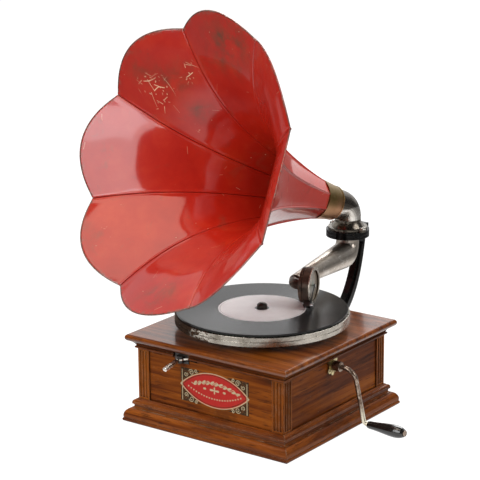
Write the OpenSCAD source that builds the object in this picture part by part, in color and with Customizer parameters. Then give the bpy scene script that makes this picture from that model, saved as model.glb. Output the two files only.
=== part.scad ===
/* [Cabinet] */
// Width and depth of the square cabinet over its corner posts
cab_w = 257; // [250:1:290]
// Height from the underside of the base board to the underside of the lid
cab_h = 122.3; // [118:0.1:150]
// Thickness of a wall panel
panel_t = 12; // [8:0.5:14]
// Distance from the face of a corner post back to the face of a panel
panel_recess = 2; // [0.5:0.25:4]
// Width of a corner post
post_w = 20; // [16:1:26]
// Number of flutes on each face of a corner post
flutes = 3; // [2:1:4]
// Radius of a flute
flute_r = 1.7; // [1:0.1:2]
// Thickness of the base board
base_t = 6; // [5:0.5:9]
// How far the base board stands out from the corner posts
base_out = 17.8; // [15:0.1:24]
// Radius of the large round of the plinth moulding
plinth_round_r = 12; // [9:0.5:14]
// Radius of the bead on top of the plinth moulding
plinth_bead_r = 3.2; // [2.5:0.1:4]
// Height of the plinth moulding above the base board
plinth_h = 28; // [26:0.5:34]
// Thickness of the lid board
lid_t = 9.9; // [8:0.1:14]
// How far the lid's rounded edge stands out from the corner posts
lid_out = 13.4; // [10:0.1:18]
// Height of the cove moulding under the lid
cove_h = 11.5; // [9:0.5:14]
// Radius of the bead at the foot of the cove moulding
cove_bead_r = 1.7; // [1:0.1:2.5]
// Height of a foot
foot_h = 3; // [2:0.5:6]
// Radius of a foot where it meets the base board
foot_r = 6; // [4:0.5:9]
// Distance of a foot's middle in from the base board's edge, left and right
foot_in_x = 31.3; // [20:0.1:50]
// Distance of a foot's middle in from the base board's edge, front and back
foot_in_y = 24.3; // [20:0.1:50]

/* [Turntable] */
// Radius of the turntable platter
platter_r = 127; // [110:1:135]
// Gap between the lid and the lower edge of the platter
platter_gap = 11.1; // [6:0.1:16]
// Height of the platter's rim
platter_h = 13.6; // [10:0.1:20]
// Wall of the pressed platter
platter_t = 2; // [1.2:0.1:3]
// Thickness of the felt mat
mat_t = 1.6; // [1:0.1:3]
// Radius of the record
record_r = 125; // [100:1:126]
// Thickness of the record
record_t = 2.2; // [1.6:0.1:3]
// Radius of the record's label
label_r = 63.8; // [40:0.1:64]
// Radius of the turntable spindle where it passes the record
spindle_r = 7.5; // [3.6:0.1:8]
// Height of the spindle above the record
spindle_up = 9; // [8:0.5:12]

/* [Motor] */
// Thickness of the motor plates
plate_t = 3; // [2:0.5:4]
// Height of the lower motor plate above the cabinet's underside
lower_plate_z = 27; // [24:1:40]
// Radius of the spring barrel
barrel_r = 38; // [28:0.5:39]
// Gap between the great wheel and the winding wheel above it
wheel_gap = 3.05; // [1:0.05:6]
// Tooth module of the great wheel and the spindle pinion
drive_m = 1.25; // [1.1:0.01:1.3]
// Teeth of the great wheel on the barrel
great_teeth = 69; // [68:1:72]
// Teeth of the spindle pinion
pinion_teeth = 12; // [12:1:14]
// Tooth module of the winding gears
wind_m = 1.5; // [1.3:0.05:1.6]
// Teeth of the winding wheel on the barrel arbor
wind_wheel_teeth = 36; // [34:1:37]
// Teeth of the winding pinion on the crank shaft
wind_pinion_teeth = 12; // [12:1:13]
// Tooth module of the governor gears
gov_m = 0.9; // [0.8:0.05:0.95]
// Teeth of the wheel on the spindle that drives the governor
gov_wheel_teeth = 48; // [46:1:49]
// Teeth of the governor pinion
gov_pinion_teeth = 8; // [8:1:9]
// Radius of the governor's friction disc
gov_disc_r = 11; // [9:0.5:12]
// Distance from the friction disc to the inside of the front panel
gov_disc_in = 26.5; // [22:0.5:30]

/* [Crank] */
// Distance from the underside of the lid down to the crank's axis
crank_drop = 20.8; // [19:0.1:24]
// Place of the crank's axis, front to back
crank_y = -8; // [-14:0.5:0]
// Distance from the crank's axis to its handle
crank_throw = 93; // [70:1:94]
// Angle at which the crank hangs at rest
crank_rest = 17; // [0:1:40]
// Radius of the crank shaft
crank_shaft_r = 5; // [4:0.25:6]
// Radius of the bent crank rod
crank_rod_r = 3.3; // [2.8:0.1:4]
// Bend radius of the rod where it leaves the shaft
crank_bend = 18; // [10:0.5:20]
// Distance from the cabinet's side to the middle of the hanging crank rod
crank_reach = 36.5; // [34:0.5:50]
// Length of the turned handle
handle_l = 60; // [50:1:80]
// Largest radius of the handle
handle_r = 9.2; // [7:0.1:9.2]

/* [Brake] */
// Place of the brake lever's pivot, left and right
brake_x = -48; // [-56:0.5:-44]
// Distance from the underside of the lid down to the brake lever
brake_drop = 11.8; // [11:0.1:14]
// Length of the rod in front of the pivot
brake_rod_l = 35; // [20:1:45]
// Radius of the ringed knob on the rod
brake_knob_r = 3.4; // [2.8:0.1:4]
// Length of the ringed knob
brake_knob_l = 25; // [14:0.5:28]
// Slope of the rod, down towards the ball
brake_slope = 11; // [0:1:15]

/* [Bracket] */
// Distance from the back of the cabinet to the pivot of horn and tone arm
pivot_out = 96; // [88:0.5:104]
// Height of the ring's lower face above the lid
ring_up = 87.4; // [84:0.2:96]
// Outer radius of the ring
ring_r = 33; // [29:0.5:38]
// Height of the ring
ring_h = 11.2; // [10:0.1:16]
// Width of the bracket's web at its foot
web_low_w = 21; // [16:0.5:26]
// Width of the bracket's web at the ring
web_top_w = 12.5; // [10:0.5:18]
// Height of the bracket's foot plate
foot_plate_h = 54; // [44:1:60]
// Width of the bracket's foot plate
foot_plate_w = 46; // [36:1:60]

/* [Tone arm] */
// Swing of the tone arm from straight ahead, at rest
arm_angle = 16.8; // [14:0.1:20]
// Height of the tone arm's axis above the record
arm_up = 30.8; // [27:0.1:33]
// Radius of the tone arm at its pivot
arm_r = 17; // [15:0.5:18]
// Radius of the tone arm where its bend ends
arm_swell_r = 20; // [17:0.5:21]
// Radius of the tone arm's taper at its thin end
arm_end_r = 10; // [9:0.25:12]
// Radius of the crook that carries the sound box
arm_tip_r = 8; // [6.5:0.25:8.5]
// Wall of the tone arm and the elbow
tube_t = 1.4; // [1:0.1:2]
// Distance from the pivot to the middle of the sound box
arm_l = 182; // [176:0.5:186]
// Radius of the sound box
box_r = 27; // [24:0.5:30]
// Thickness of the sound box
box_t = 17; // [12:0.5:18]
// Lean of the sound box's needle from straight down
needle_lean = 41.5; // [30:0.5:44]
// Radius of the needle
needle_r = 0.8; // [0.6:0.1:1]

/* [Horn] */
// Number of petals
petals = 8; // [8:1:8]
// Height of the horn's axis above the top of the ring
horn_up = 33.4; // [30:0.2:42]
// Upward tilt of the horn's axis
horn_tilt = 20.1; // [14:0.1:26]
// Swivel of the horn at rest
horn_swivel = 13.5; // [-20:0.5:30]
// Turn of the petals about the horn's axis
petal_turn = 1.5; // [-5:0.5:5]
// Radius of the elbow tube
elbow_r = 20; // [18.5:0.25:21]
// Bend radius of the elbow
elbow_bend = 26; // [24:0.5:27]
// Radius of the elbow's straight end, which swells to meet the ferrule
elbow_end_r = 24; // [21:0.1:26]
// Length of the elbow's straight end
elbow_end_l = 16.3; // [8:0.1:24]
// Length of the brass ferrule
ferrule_l = 37; // [30:1:50]
// Radius of the ferrule at the elbow
ferrule_r = 25.4; // [24.5:0.1:27]
// Radius of the horn where it leaves the ferrule
throat_r = 30.8; // [29:0.1:34]
// Length of the horn from the ferrule to its notches
bell_l = 260.7; // [220:0.1:300]
// Radius of the horn at its notches
mouth_r = 206.7; // [160:0.1:220]
// How much the flare quickens towards the mouth
flare = 0.225; // [0:0.005:0.4]
// How far a petal's tip stands in front of the notches
petal_reach = 14; // [0:0.5:24]
// Thickness of the sheet
sheet_t = 0.9; // [0.8:0.1:2]
// Height of the folded seams on the outside
seam_h = 2.4; // [1:0.1:4]
// Width of half a folded seam
seam_w = 1.3; // [0.8:0.1:2.5]
// Thickness of the rolled rim
rim_t = 2.4; // [1.6:0.1:4]

/* [Clearances] */
// Radial clearance of a shaft in its bearing
run_fit = 0.05; // [0.02:0.01:0.09]
// Gap between pieces that move past each other
move_gap = 0.3; // [0.25:0.05:0.6]
// Radial clearance of a screw in its hole
screw_fit = 0.1; // [0.05:0.05:0.3]
// Glue line between two mitred lengths of moulding
mitre_gap = 0.1; // [0.05:0.05:0.3]

/* [Hidden] */
$fn = 96;

cab_r = cab_w / 2;
wall_out = cab_r - panel_recess;
wall_in = wall_out - panel_t;
lid_top = cab_h + lid_t;
base_r = cab_r + base_out;
lid_r = cab_r + lid_out;
foot_x = base_r - foot_in_x;
foot_y = base_r - foot_in_y;
far = 4 * cab_w;

platter_z = lid_top + platter_gap;
platter_top = platter_z + platter_h;
record_z = platter_top + mat_t;
record_top = record_z + record_t;
label_t = 0.2;
label_hole_r = spindle_r + 3;
record_hole_r = spindle_r + 0.3;
hub_r = spindle_r + 6.5;

crank_z = cab_h - crank_drop;
plate_z = cab_h - plate_t;
plate_front = 68;
shaft_r = 4;
journal_r = 3;
drive_reach = drive_m * (great_teeth + pinion_teeth) / 2;
barrel_x = sqrt(drive_reach * drive_reach - crank_y * crank_y);
barrel_z = lower_plate_z + plate_t + 7;
great_t = 4;
drive_angle = atan2(-crank_y, -barrel_x);
wind_wheel_r = wind_m * wind_wheel_teeth / 2;
wind_pinion_r = wind_m * wind_pinion_teeth / 2;
wind_wheel_z = crank_z - wind_pinion_r;
wind_wheel_t = 2.5;
wind_face = 7;
barrel_h = wind_wheel_z - 1.3 * wind_m - wind_wheel_t - wheel_gap - great_t - barrel_z;
gov_wheel_r = gov_m * gov_wheel_teeth / 2;
gov_pinion_r = gov_m * gov_pinion_teeth / 2;
gov_face = 4;
gov_z = plate_z - gov_disc_r - 2.3;
gov_wheel_z = gov_z - gov_pinion_r;
gov_disc_y = gov_disc_in - wall_in;
gov_post_t = 4;
gov_post_back = -gov_wheel_r - gov_face / 2 - 5;
gov_post_front = gov_disc_y - 16;
pillar_r = 4.5;

low_bend = 2 * crank_rod_r;
crank_x = cab_r + crank_reach;
bush_r = crank_shaft_r + 1.8;
escutcheon_t = 2.5;
leaf_r = 4.4;
handle_x = crank_x + low_bend + move_gap;
handle_pin_r = 2.6;

brake_t = 2.4;
brake_w = 7;
brake_pin_r = 2;
brake_rod_r = 1.15;
brake_y = -cab_r - 4;
brake_z = cab_h - brake_drop;
brake_ear = 5.5;

pivot_y = cab_r + pivot_out;
ring_z = lid_top + ring_up;
ring_top = ring_z + ring_h;
arm_z = record_top + arm_up;
horn_z = ring_top + horn_up;
web_swell = 23.5;
web_rise = 0.461;
ring_ledge = 3.4;
collar_h = 3;
stub_r = arm_r + 0.5;
flange_z = ring_top + move_gap;
flange_t = 3.4;
flange_r = ring_r - 3;
lug_x = flange_r + 1.5;
dome_foot_r = elbow_r + 5;
dome_h = 8;
dome_down = (pow(dome_foot_r, 2) - pow(elbow_r, 2) - dome_h * dome_h) / (2 * dome_h);
dome_r = norm([dome_foot_r, dome_down]);
arm_bend = arm_r + 3;
crook_bend = arm_tip_r + 3;
box_front = 4;
box_back = box_front - box_t;
boss_t = 5.5;
crook_end = box_back - boss_t;
crook_pin_r = arm_tip_r - 1;
crook_pin_l = 8;
needle_drop = arm_z - record_top - move_gap;
needle_tip = needle_drop / cos(needle_lean);
needle_at = box_front - 5.2;
chuck_l = 10;
chuck_w = 7.2;
chuck_h = 7;

elbow_turn = 90 - horn_tilt;
elbow_run = elbow_bend * tan(elbow_turn / 2);
ferrule_s = elbow_run + elbow_end_l;
throat_s = ferrule_s + ferrule_l;
petal_half = 180 / petals;

// Shared shapes

// A tube through one bend, up and then towards -Y. Each ring has its turn, its run on from the
// bend's own curve along that direction, and its radius.
module bent_tube(bend, wall, rings) {
  sides = 36;
  count = len(rings);
  skin = count * sides;
  last = skin - sides;
  function ring_points(ring, wall) = [for (k = [0 : sides - 1])
    let (a = 360 * k / sides, r = ring[2] - wall, out = bend + r * cos(a), turn = ring[0])
    [r * sin(a), out * cos(turn) - bend - ring[1] * sin(turn),
      out * sin(turn) + ring[1] * cos(turn)]];
  walls = [for (i = [0 : count - 2], k = [0 : sides - 1]) let (n = (k + 1) % sides)
    [i * sides + k, i * sides + n, (i + 1) * sides + n, (i + 1) * sides + k]];
  bore = [for (w = walls) [w[3] + skin, w[2] + skin, w[1] + skin, w[0] + skin]];
  ends = [for (k = [0 : sides - 1]) let (n = (k + 1) % sides)
    each [[skin + k, skin + n, n, k], [last + k, last + n, skin + last + n, skin + last + k]]];
  polyhedron([for (thick = [0, wall], ring = rings) each ring_points(ring, thick)],
    [for (f = concat(walls, bore, ends)) each [[f[0], f[1], f[2]], [f[0], f[2], f[3]]]]);
}

// A ring moulding with straight sides, cut from one square profile on all four sides
module square_ring(height) {
  intersection() {
    rotate([90, 0, 0]) translate([0, 0, -far / 2]) linear_extrude(far) children(0);
    rotate([90, 0, 90]) translate([0, 0, -far / 2]) linear_extrude(far) children(0);
  }
}

// Both halves of a profile that is drawn on the right
module both_sides() {
  children(0);
  mirror([1, 0]) children(0);
}

// One mitred length of a moulding, on the front, from a profile drawn on the right
module mitred_length() {
  intersection() {
    rotate([90, 0, -90]) translate([0, 0, -far / 2]) linear_extrude(far) children(0);
    linear_extrude(far)
      polygon([[0, -mitre_gap], [-far / 2, -far / 2 - mitre_gap], [far / 2, -far / 2 - mitre_gap]]);
  }
}

module four_sides() {
  for (side = [0 : 3]) rotate([0, 0, 90 * side]) children(0);
}

module corner_blocks(size, height) {
  for (sx = [-1, 1], sy = [-1, 1])
    translate([sx * (cab_r - size / 2), sy * (cab_r - size / 2), height / 2])
      cube([size, size, height + 2], center = true);
}

module gear_outline(teeth, m) {
  pitch = 360 / teeth;
  r = m * teeth / 2;
  steps = [[-0.31, r - 1.2 * m], [-0.2, r], [-0.1, r + 0.8 * m], [0.1, r + 0.8 * m],
    [0.2, r], [0.31, r - 1.2 * m]];
  polygon([for (i = [0 : teeth - 1]) for (p = steps)
    p[1] * [cos(pitch * (i + p[0])), sin(pitch * (i + p[0]))]]);
}

// A wheel with its teeth on the upper face, at the pitch height z = 0
module crown_wheel(teeth, m, face, bore, thick) {
  r = m * teeth / 2;
  difference() {
    union() {
      translate([0, 0, -1.3 * m - thick]) cylinder(r = r + face / 2, h = thick);
      for (i = [0 : teeth - 1]) rotate([0, 0, 360 * i / teeth])
        translate([r, 0, -1.3 * m - 0.05]) rotate([90, 0, 90])
          linear_extrude(face - 0.4, center = true)
            polygon([[-0.5 * m, 0], [0.5 * m, 0], [0.28 * m, 2.1 * m], [-0.28 * m, 2.1 * m]]);
    }
    translate([0, 0, -far]) cylinder(r = bore, h = 2 * far);
  }
}

// A round bar along +X that starts at the origin
module bar_x(r, l) {
  rotate([0, 90, 0]) cylinder(r = r, h = l);
}

module at_pivot(angle) {
  translate([0, pivot_y, 0]) rotate([0, 0, angle]) children();
}

// Cabinet

module lid_profile() {
  nose_r = lid_t / 2 + 0.4;
  translate([0, cab_h]) square([lid_r - nose_r, lid_t]);
  intersection() {
    translate([0, cab_h]) square([lid_r, lid_t]);
    translate([lid_r - nose_r, cab_h + lid_t / 2]) circle(r = nose_r);
  }
}

module lid_board() {
  color("saddlebrown") difference() {
    square_ring() both_sides() lid_profile();
    translate([0, 0, cab_h - 1]) cylinder(r = hub_r + 2, h = lid_t + 2);
  }
}

module cove_profile() {
  cove_r = cove_h + 0.5;
  difference() {
    translate([wall_out, cab_h - cove_h]) square([cove_r - 2.5, cove_h]);
    translate([cab_r + 0.6 + cove_r, cab_h - cove_h - 0.6]) circle(r = cove_r);
  }
  translate([cab_r + cove_bead_r, cab_h - cove_h + cove_bead_r]) circle(r = cove_bead_r);
}

module bed_moulding() {
  color("peru") difference() {
    four_sides() mitred_length() cove_profile();
    corner_blocks(post_w, cab_h);
    brake_clear(0.5);
  }
}

module panel_blank() {
  half = cab_r - post_w;
  translate([-half, -wall_out, base_t]) cube([2 * half, panel_t, cab_h - base_t]);
}

module front_panel() {
  color("sienna") difference() {
    panel_blank();
    translate([brake_x - 8, -cab_r, brake_z - 3]) cube([34, panel_t + 5, 6]);
  }
}

module back_panel() {
  color("sienna") difference() {
    rotate([0, 0, 180]) panel_blank();
    bracket_holes(bracket_screw_r, panel_t + 5);
  }
}

module left_panel() {
  color("sienna") rotate([0, 0, -90]) panel_blank();
}

module right_panel() {
  color("sienna") difference() {
    rotate([0, 0, 90]) panel_blank();
    translate([0, crank_y, crank_z]) bar_x(bush_r, far);
  }
}

module flute(offset_x) {
  translate([cab_r - post_w / 2 + offset_x, -cab_r - 0.1, 0])
    translate([0, 0, base_t + plinth_h + 3])
      cylinder(r = flute_r, h = cab_h - cove_h - base_t - plinth_h - 6);
}

module corner_posts() {
  pitch = (post_w - 4) / flutes;
  color("sienna") difference() {
    for (sx = [-1, 1], sy = [-1, 1])
      translate([sx * (cab_r - post_w / 2), sy * (cab_r - post_w / 2), (base_t + cab_h) / 2])
        cube([post_w, post_w, cab_h - base_t], center = true);
    four_sides() for (i = [0 : flutes - 1]) {
      flute(pitch * (i - (flutes - 1) / 2));
      mirror([1, 0, 0]) flute(pitch * (i - (flutes - 1) / 2));
    }
  }
}

module plinth_profile() {
  round_z = 2.5;
  ledge_z = 13.3;
  neck_x = cab_r + 4.8;
  round_x = base_r - 1.1 - plinth_round_r;
  bead_z = plinth_h - 5.2;
  translate([0, base_t]) {
    translate([wall_out, 0]) square([round_x - wall_out, ledge_z]);
    intersection() {
      translate([wall_out, 0]) square([base_out + panel_recess, ledge_z]);
      translate([round_x, round_z]) circle(r = plinth_round_r);
    }
    difference() {
      translate([wall_out, ledge_z - 0.1]) square([neck_x - wall_out + 2.5, bead_z - ledge_z]);
      translate([neck_x + 2.8, ledge_z + 3.6]) circle(r = 2.9);
    }
    translate([neck_x + 2.3 - plinth_bead_r, bead_z]) circle(r = plinth_bead_r);
    polygon([[wall_out, ledge_z], [neck_x, ledge_z], [neck_x + 0.5, bead_z + plinth_bead_r - 1],
      [cab_r + 1, plinth_h], [wall_out, plinth_h]]);
  }
}

module plinth() {
  color("peru") difference() {
    four_sides() mitred_length() plinth_profile();
    corner_blocks(post_w, cab_h);
  }
}

module base_profile() {
  edge = base_t / 2;
  square([base_r - edge, base_t]);
  intersection() {
    square([base_r, base_t]);
    translate([base_r - edge, edge]) circle(r = edge);
  }
}

module base_board() {
  color("saddlebrown") square_ring() both_sides() base_profile();
}

module feet() {
  color("tan") for (sx = [-1, 1], sy = [-1, 1])
    translate([sx * foot_x, sy * foot_y, -foot_h])
      cylinder(r1 = foot_r - foot_h / 2, r2 = foot_r, h = foot_h);
}

// Motor

module plate_blank(z) {
  translate([-40, -plate_front, z])
    cube([40 + barrel_x + barrel_r + 12, plate_front + 52, plate_t]);
}

pillars_at = [[-33, -58], [-33, 44], [barrel_x + barrel_r + 5, -58], [barrel_x + barrel_r + 5, 44]];

tongue_w = 24;

module motor_plate() {
  color("dimgray") {
    difference() {
      union() {
        plate_blank(plate_z);
        translate([-tongue_w / 2, gov_post_front - 3, plate_z])
          cube([tongue_w, 8 - gov_post_front - plate_front, plate_t]);
      }
      translate([0, 0, plate_z - 1]) cylinder(r = shaft_r + run_fit, h = plate_t + 2);
      translate([barrel_x, crank_y, plate_z - 1]) cylinder(r = journal_r + run_fit, h = plate_t + 2);
    }
    for (y = [gov_post_back, gov_post_front]) difference() {
      translate([-5, y - gov_post_t, gov_z - 5]) cube([10, gov_post_t, plate_z - gov_z + 5.01]);
      translate([0, y + 1, gov_z]) rotate([90, 0, 0])
        cylinder(r = 1.5 + run_fit, h = gov_post_t + 2);
    }
  }
}

module motor_pillars() {
  color("silver") for (p = pillars_at)
    translate([p[0], p[1], lower_plate_z + plate_t])
      cylinder(r = pillar_r, h = plate_z - lower_plate_z - plate_t);
}

module motor_lower_plate() {
  color("dimgray") difference() {
    plate_blank(lower_plate_z);
    translate([0, 0, lower_plate_z - 1]) cylinder(r = journal_r + run_fit, h = plate_t + 2);
    translate([barrel_x, crank_y, lower_plate_z - 1])
      cylinder(r = journal_r + run_fit, h = plate_t + 2);
  }
}

module spring_barrel() {
  wall = 1.5;
  color("goldenrod") translate([barrel_x, crank_y, barrel_z]) difference() {
    cylinder(r = barrel_r, h = barrel_h);
    translate([0, 0, wall]) cylinder(r = barrel_r - wall, h = barrel_h - 2 * wall);
    translate([0, 0, -1]) cylinder(r = shaft_r + run_fit, h = barrel_h + 2);
  }
}

module mainspring() {
  color("slategray") translate([barrel_x, crank_y, barrel_z + 3]) difference() {
    cylinder(r = barrel_r - 1.5, h = barrel_h - 6);
    translate([0, 0, -1]) cylinder(r = barrel_r * 0.55, h = barrel_h);
  }
}

module great_wheel() {
  color("gold") translate([barrel_x, crank_y, barrel_z + barrel_h])
    linear_extrude(great_t) difference() {
      rotate(drive_angle + 180 / great_teeth) gear_outline(great_teeth, drive_m);
      circle(r = shaft_r + run_fit);
    }
}

module barrel_arbor() {
  stop = 2;
  color("silver") translate([barrel_x, crank_y, lower_plate_z]) {
    cylinder(r = journal_r, h = cab_h - lower_plate_z - move_gap);
    translate([0, 0, plate_t + move_gap]) cylinder(r = shaft_r + 1.5, h = stop);
    translate([0, 0, plate_t + move_gap]) cylinder(r = shaft_r, h = plate_z - lower_plate_z
      - plate_t - 2 * move_gap);
  }
}

module winding_wheel() {
  color("gold") translate([barrel_x, crank_y, wind_wheel_z])
    crown_wheel(wind_wheel_teeth, wind_m, wind_face, shaft_r, wind_wheel_t);
}

module spindle() {
  step_z = lid_top + 2;
  color("silver") {
    translate([0, 0, lower_plate_z]) cylinder(r = journal_r, h = plate_t + move_gap + 1);
    translate([0, 0, lower_plate_z + plate_t + move_gap]) cylinder(r = shaft_r, h = step_z
      - lower_plate_z - plate_t - move_gap);
    translate([0, 0, step_z]) cylinder(r = spindle_r, h = record_top + spindle_up - step_z
      - spindle_r / 2);
    intersection() {
      translate([0, 0, record_top + spindle_up - spindle_r * 1.25]) sphere(r = spindle_r * 1.25);
      translate([0, 0, record_top + spindle_up - spindle_r / 2 - 0.01])
        cylinder(r = spindle_r, h = spindle_r);
    }
    translate([0, 0, barrel_z + barrel_h - 1]) linear_extrude(great_t + 2)
      rotate(drive_angle + 180) gear_outline(pinion_teeth, drive_m);
  }
}

module governor_wheel() {
  color("gold") translate([0, 0, gov_wheel_z])
    crown_wheel(gov_wheel_teeth, gov_m, gov_face, shaft_r, 2);
}

module governor_shaft() {
  color("silver") translate([0, -gov_wheel_r + gov_face / 2 - 0.2, gov_z]) rotate([90, 0, 0]) {
    cylinder(r = 1.5, h = -gov_post_front - gov_wheel_r + gov_face / 2 + gov_post_t - 0.4);
    linear_extrude(gov_face - 0.4) rotate(-90 + 180 / gov_pinion_teeth)
      gear_outline(gov_pinion_teeth, gov_m);
  }
  color("silver") translate([0, gov_disc_y, gov_z]) rotate([90, 0, 0]) {
    cylinder(r = gov_disc_r, h = 2);
    translate([0, 0, -4]) cylinder(r = 4, h = 4);
  }
}

module governor_weights() {
  weights = 3;
  orbit = gov_disc_r - 4;
  blade_l = -gov_disc_y + gov_post_back - gov_post_t - 8;
  color("darkgoldenrod") translate([0, gov_post_back - gov_post_t - 3, gov_z]) rotate([90, 0, 0]) {
    difference() {
      cylinder(r = 4.5, h = 4);
      translate([0, 0, -1]) cylinder(r = 1.5, h = 6);
    }
    for (i = [0 : weights - 1]) rotate([0, 0, 360 * i / weights]) {
      translate([3, -1.5, 1]) cube([0.6, 3, blade_l]);
      translate([orbit, 0, blade_l / 2]) sphere(r = 3.8);
    }
  }
}

// Crank

// A four-lobed leaf that stops under the bed moulding
module escutcheon_outline() {
  room = cab_h - cove_h - crank_z - move_gap;
  difference() {
    intersection() {
      union() {
        circle(r = bush_r + leaf_r / 2);
        for (a = [-45 : 90 : 225]) rotate(a) translate([bush_r + leaf_r * 0.7, 0])
          circle(r = leaf_r);
        rotate(-90) translate([bush_r + leaf_r * 1.1, 0]) circle(r = leaf_r * 0.8);
      }
      translate([-far / 2, room - far]) square(far);
    }
    circle(r = bush_r);
    for (a = [-135, -45]) rotate(a) translate([bush_r + leaf_r * 0.8, 0]) circle(r = 1.3);
  }
}

module crank_escutcheon() {
  color("goldenrod") translate([wall_out, crank_y, crank_z]) rotate([90, 0, 90])
    linear_extrude(escutcheon_t) escutcheon_outline();
}

module crank_bush() {
  color("goldenrod") translate([wall_in - 5, crank_y, crank_z]) difference() {
    union() {
      bar_x(bush_r, panel_t + 5 + escutcheon_t);
      translate([panel_t + 5 + escutcheon_t, 0, 0]) bar_x(bush_r + 1, 2.5);
    }
    translate([-1, 0, 0]) bar_x(crank_shaft_r + run_fit, far);
  }
}

bush_end = wall_out + escutcheon_t + 2.5;

module crank_shaft() {
  start = barrel_x + wind_wheel_r - wind_face / 2 - 2;
  color("silver") translate([start, crank_y, crank_z])
    bar_x(crank_shaft_r, bush_end + move_gap + 5 - start);
}

module winding_pinion() {
  color("gold") translate([barrel_x + wind_wheel_r, crank_y, crank_z]) rotate([90, 0, 90])
    linear_extrude(wind_face - 0.4, center = true) difference() {
      rotate(-90 + 180 / wind_pinion_teeth) gear_outline(wind_pinion_teeth, wind_m);
      circle(r = crank_shaft_r);
    }
}

module at_crank() {
  translate([0, crank_y, crank_z]) rotate([crank_rest, 0, 0]) children();
}

module rod_bend(bend) {
  rotate_extrude(angle = 90) translate([bend, 0]) circle(r = crank_rod_r);
}

module crank_arm() {
  start = bush_end + move_gap;
  socket_l = 11;
  color("silver") at_crank() {
    difference() {
      translate([start, 0, 0]) bar_x(crank_shaft_r + 2.2, socket_l);
      translate([start - 1, 0, 0]) bar_x(crank_shaft_r, 6);
    }
    translate([start + socket_l - 1, 0, 0])
      bar_x(crank_rod_r, crank_x - crank_bend - start - socket_l + 1);
    translate([crank_x - crank_bend, 0, -crank_bend]) rotate([90, 0, 0]) rod_bend(crank_bend);
    translate([crank_x, 0, -crank_throw + low_bend])
      cylinder(r = crank_rod_r, h = crank_throw - low_bend - crank_bend);
    translate([crank_x + low_bend, 0, -crank_throw + low_bend]) rotate([90, 180, 0])
      rod_bend(low_bend);
    translate([crank_x + low_bend - 0.01, 0, -crank_throw])
      bar_x(handle_pin_r, handle_x + handle_l + 2 * move_gap - crank_x - low_bend);
    translate([handle_x + handle_l + move_gap, 0, -crank_throw]) bar_x(handle_pin_r + 1.6, 1.7);
  }
}

// Radius of the turned handle, t from 0 at the rod to 1 at its end
belly = 0.76;
function handle_at(t) = t < belly ? handle_r * (0.6 + 0.4 * sin(90 * pow(t / belly, 1.7)))
  : handle_r * sqrt(1 - 0.62 * pow((t - belly) / (1 - belly), 2));

module crank_handle() {
  steps = 18;
  color("black") at_crank() translate([handle_x, 0, -crank_throw]) rotate([0, 90, 0])
    rotate_extrude() polygon(concat([[handle_pin_r + run_fit, 0]],
      [for (i = [0 : steps]) [handle_at(i / steps) - (i == 0 ? 0.8 : 0),
        handle_l * i / steps]],
      [[handle_pin_r + run_fit, handle_l]]));
}

// Brake

module brake_clear(gap) {
  translate([brake_x - 13 - gap, -cab_r - 20, brake_z - 8 - gap])
    cube([26 + 2 * gap, 30, 16 + 2 * gap]);
}

module brake_bracket() {
  color("black") {
    difference() {
      translate([brake_x - 12, -cab_r, brake_z - 7]) cube([24, panel_recess, 14]);
      translate([brake_x - 8, -cab_r - 1, brake_z - 3]) cube([20.5, 5, 6]);
    }
    for (side = [-1, 1]) translate([brake_x, brake_y, brake_z + side * (brake_t / 2 + 1.8 + move_gap)])
      linear_extrude(3.6, center = true) {
        circle(r = brake_ear);
        translate([-brake_ear, 0]) square([2 * brake_ear, -cab_r - brake_y + 0.01]);
      }
    translate([brake_x, brake_y, brake_z - 5]) cylinder(r = brake_pin_r, h = 10);
  }
}

module brake_lever() {
  pad_x = -8;
  pad_y = gov_disc_y - 2 - 5.6;
  run = [pad_x - brake_x, pad_y - brake_y];
  color("silver") {
    difference() {
      translate([brake_x, brake_y, brake_z]) {
        linear_extrude(brake_t, center = true) {
          circle(r = brake_ear);
          rotate(atan2(run[1], run[0])) translate([0, -brake_w / 2 + 1])
            square([norm(run) - 3, brake_w - 2]);
        }
        translate([pad_x - brake_x, pad_y - brake_y - 3, 0])
          cube([7, 6, brake_t + 0.8], center = true);
      }
      translate([brake_x, brake_y, brake_z - 5]) cylinder(r = brake_pin_r + run_fit, h = 10);
    }
    translate([brake_x, brake_y - brake_ear + 1.2, brake_z]) rotate([90 + brake_slope, 0, 0])
      cylinder(r = brake_rod_r, h = brake_rod_l - brake_ear);
  }
}

module brake_knob() {
  rod_l = brake_rod_l - brake_ear;
  start = rod_l - brake_knob_l;
  ring_pitch = 3.2;
  color("silver") translate([brake_x, brake_y - brake_ear + 1.2, brake_z])
    rotate([90 + brake_slope, 0, 0]) difference() {
      intersection() {
        translate([0, 0, start]) cylinder(r = brake_knob_r, h = brake_knob_l + 3);
        translate([0, 0, rod_l + 3 - brake_knob_r * 1.6]) union() {
          sphere(r = brake_knob_r * 1.6);
          translate([0, 0, -far]) cylinder(r = brake_knob_r + 1, h = far);
        }
      }
      for (i = [1 : 4]) translate([0, 0, rod_l + 1 - ring_pitch * i]) difference() {
        cylinder(r = brake_knob_r + 1, h = 1.3);
        translate([0, 0, -1]) cylinder(r = brake_knob_r - 0.7, h = 4);
      }
      translate([0, 0, start - 1]) cylinder(r = brake_rod_r, h = rod_l - start + 1);
    }
}

// Bracket

bracket_screw_r = 2.2;
foot_plate_t = 4.5;
foot_plate_z = cab_h - cove_h - foot_plate_h / 2 - 3;

module bracket_holes(r, depth) {
  for (sx = [-1, 1], sz = [-1, 1])
    translate([sx * (foot_plate_w / 2 - 8), cab_r + 20, foot_plate_z + sz * (foot_plate_h / 2 - 8)])
      rotate([90, 0, 0]) cylinder(r = r, h = 20 + depth);
}

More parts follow.
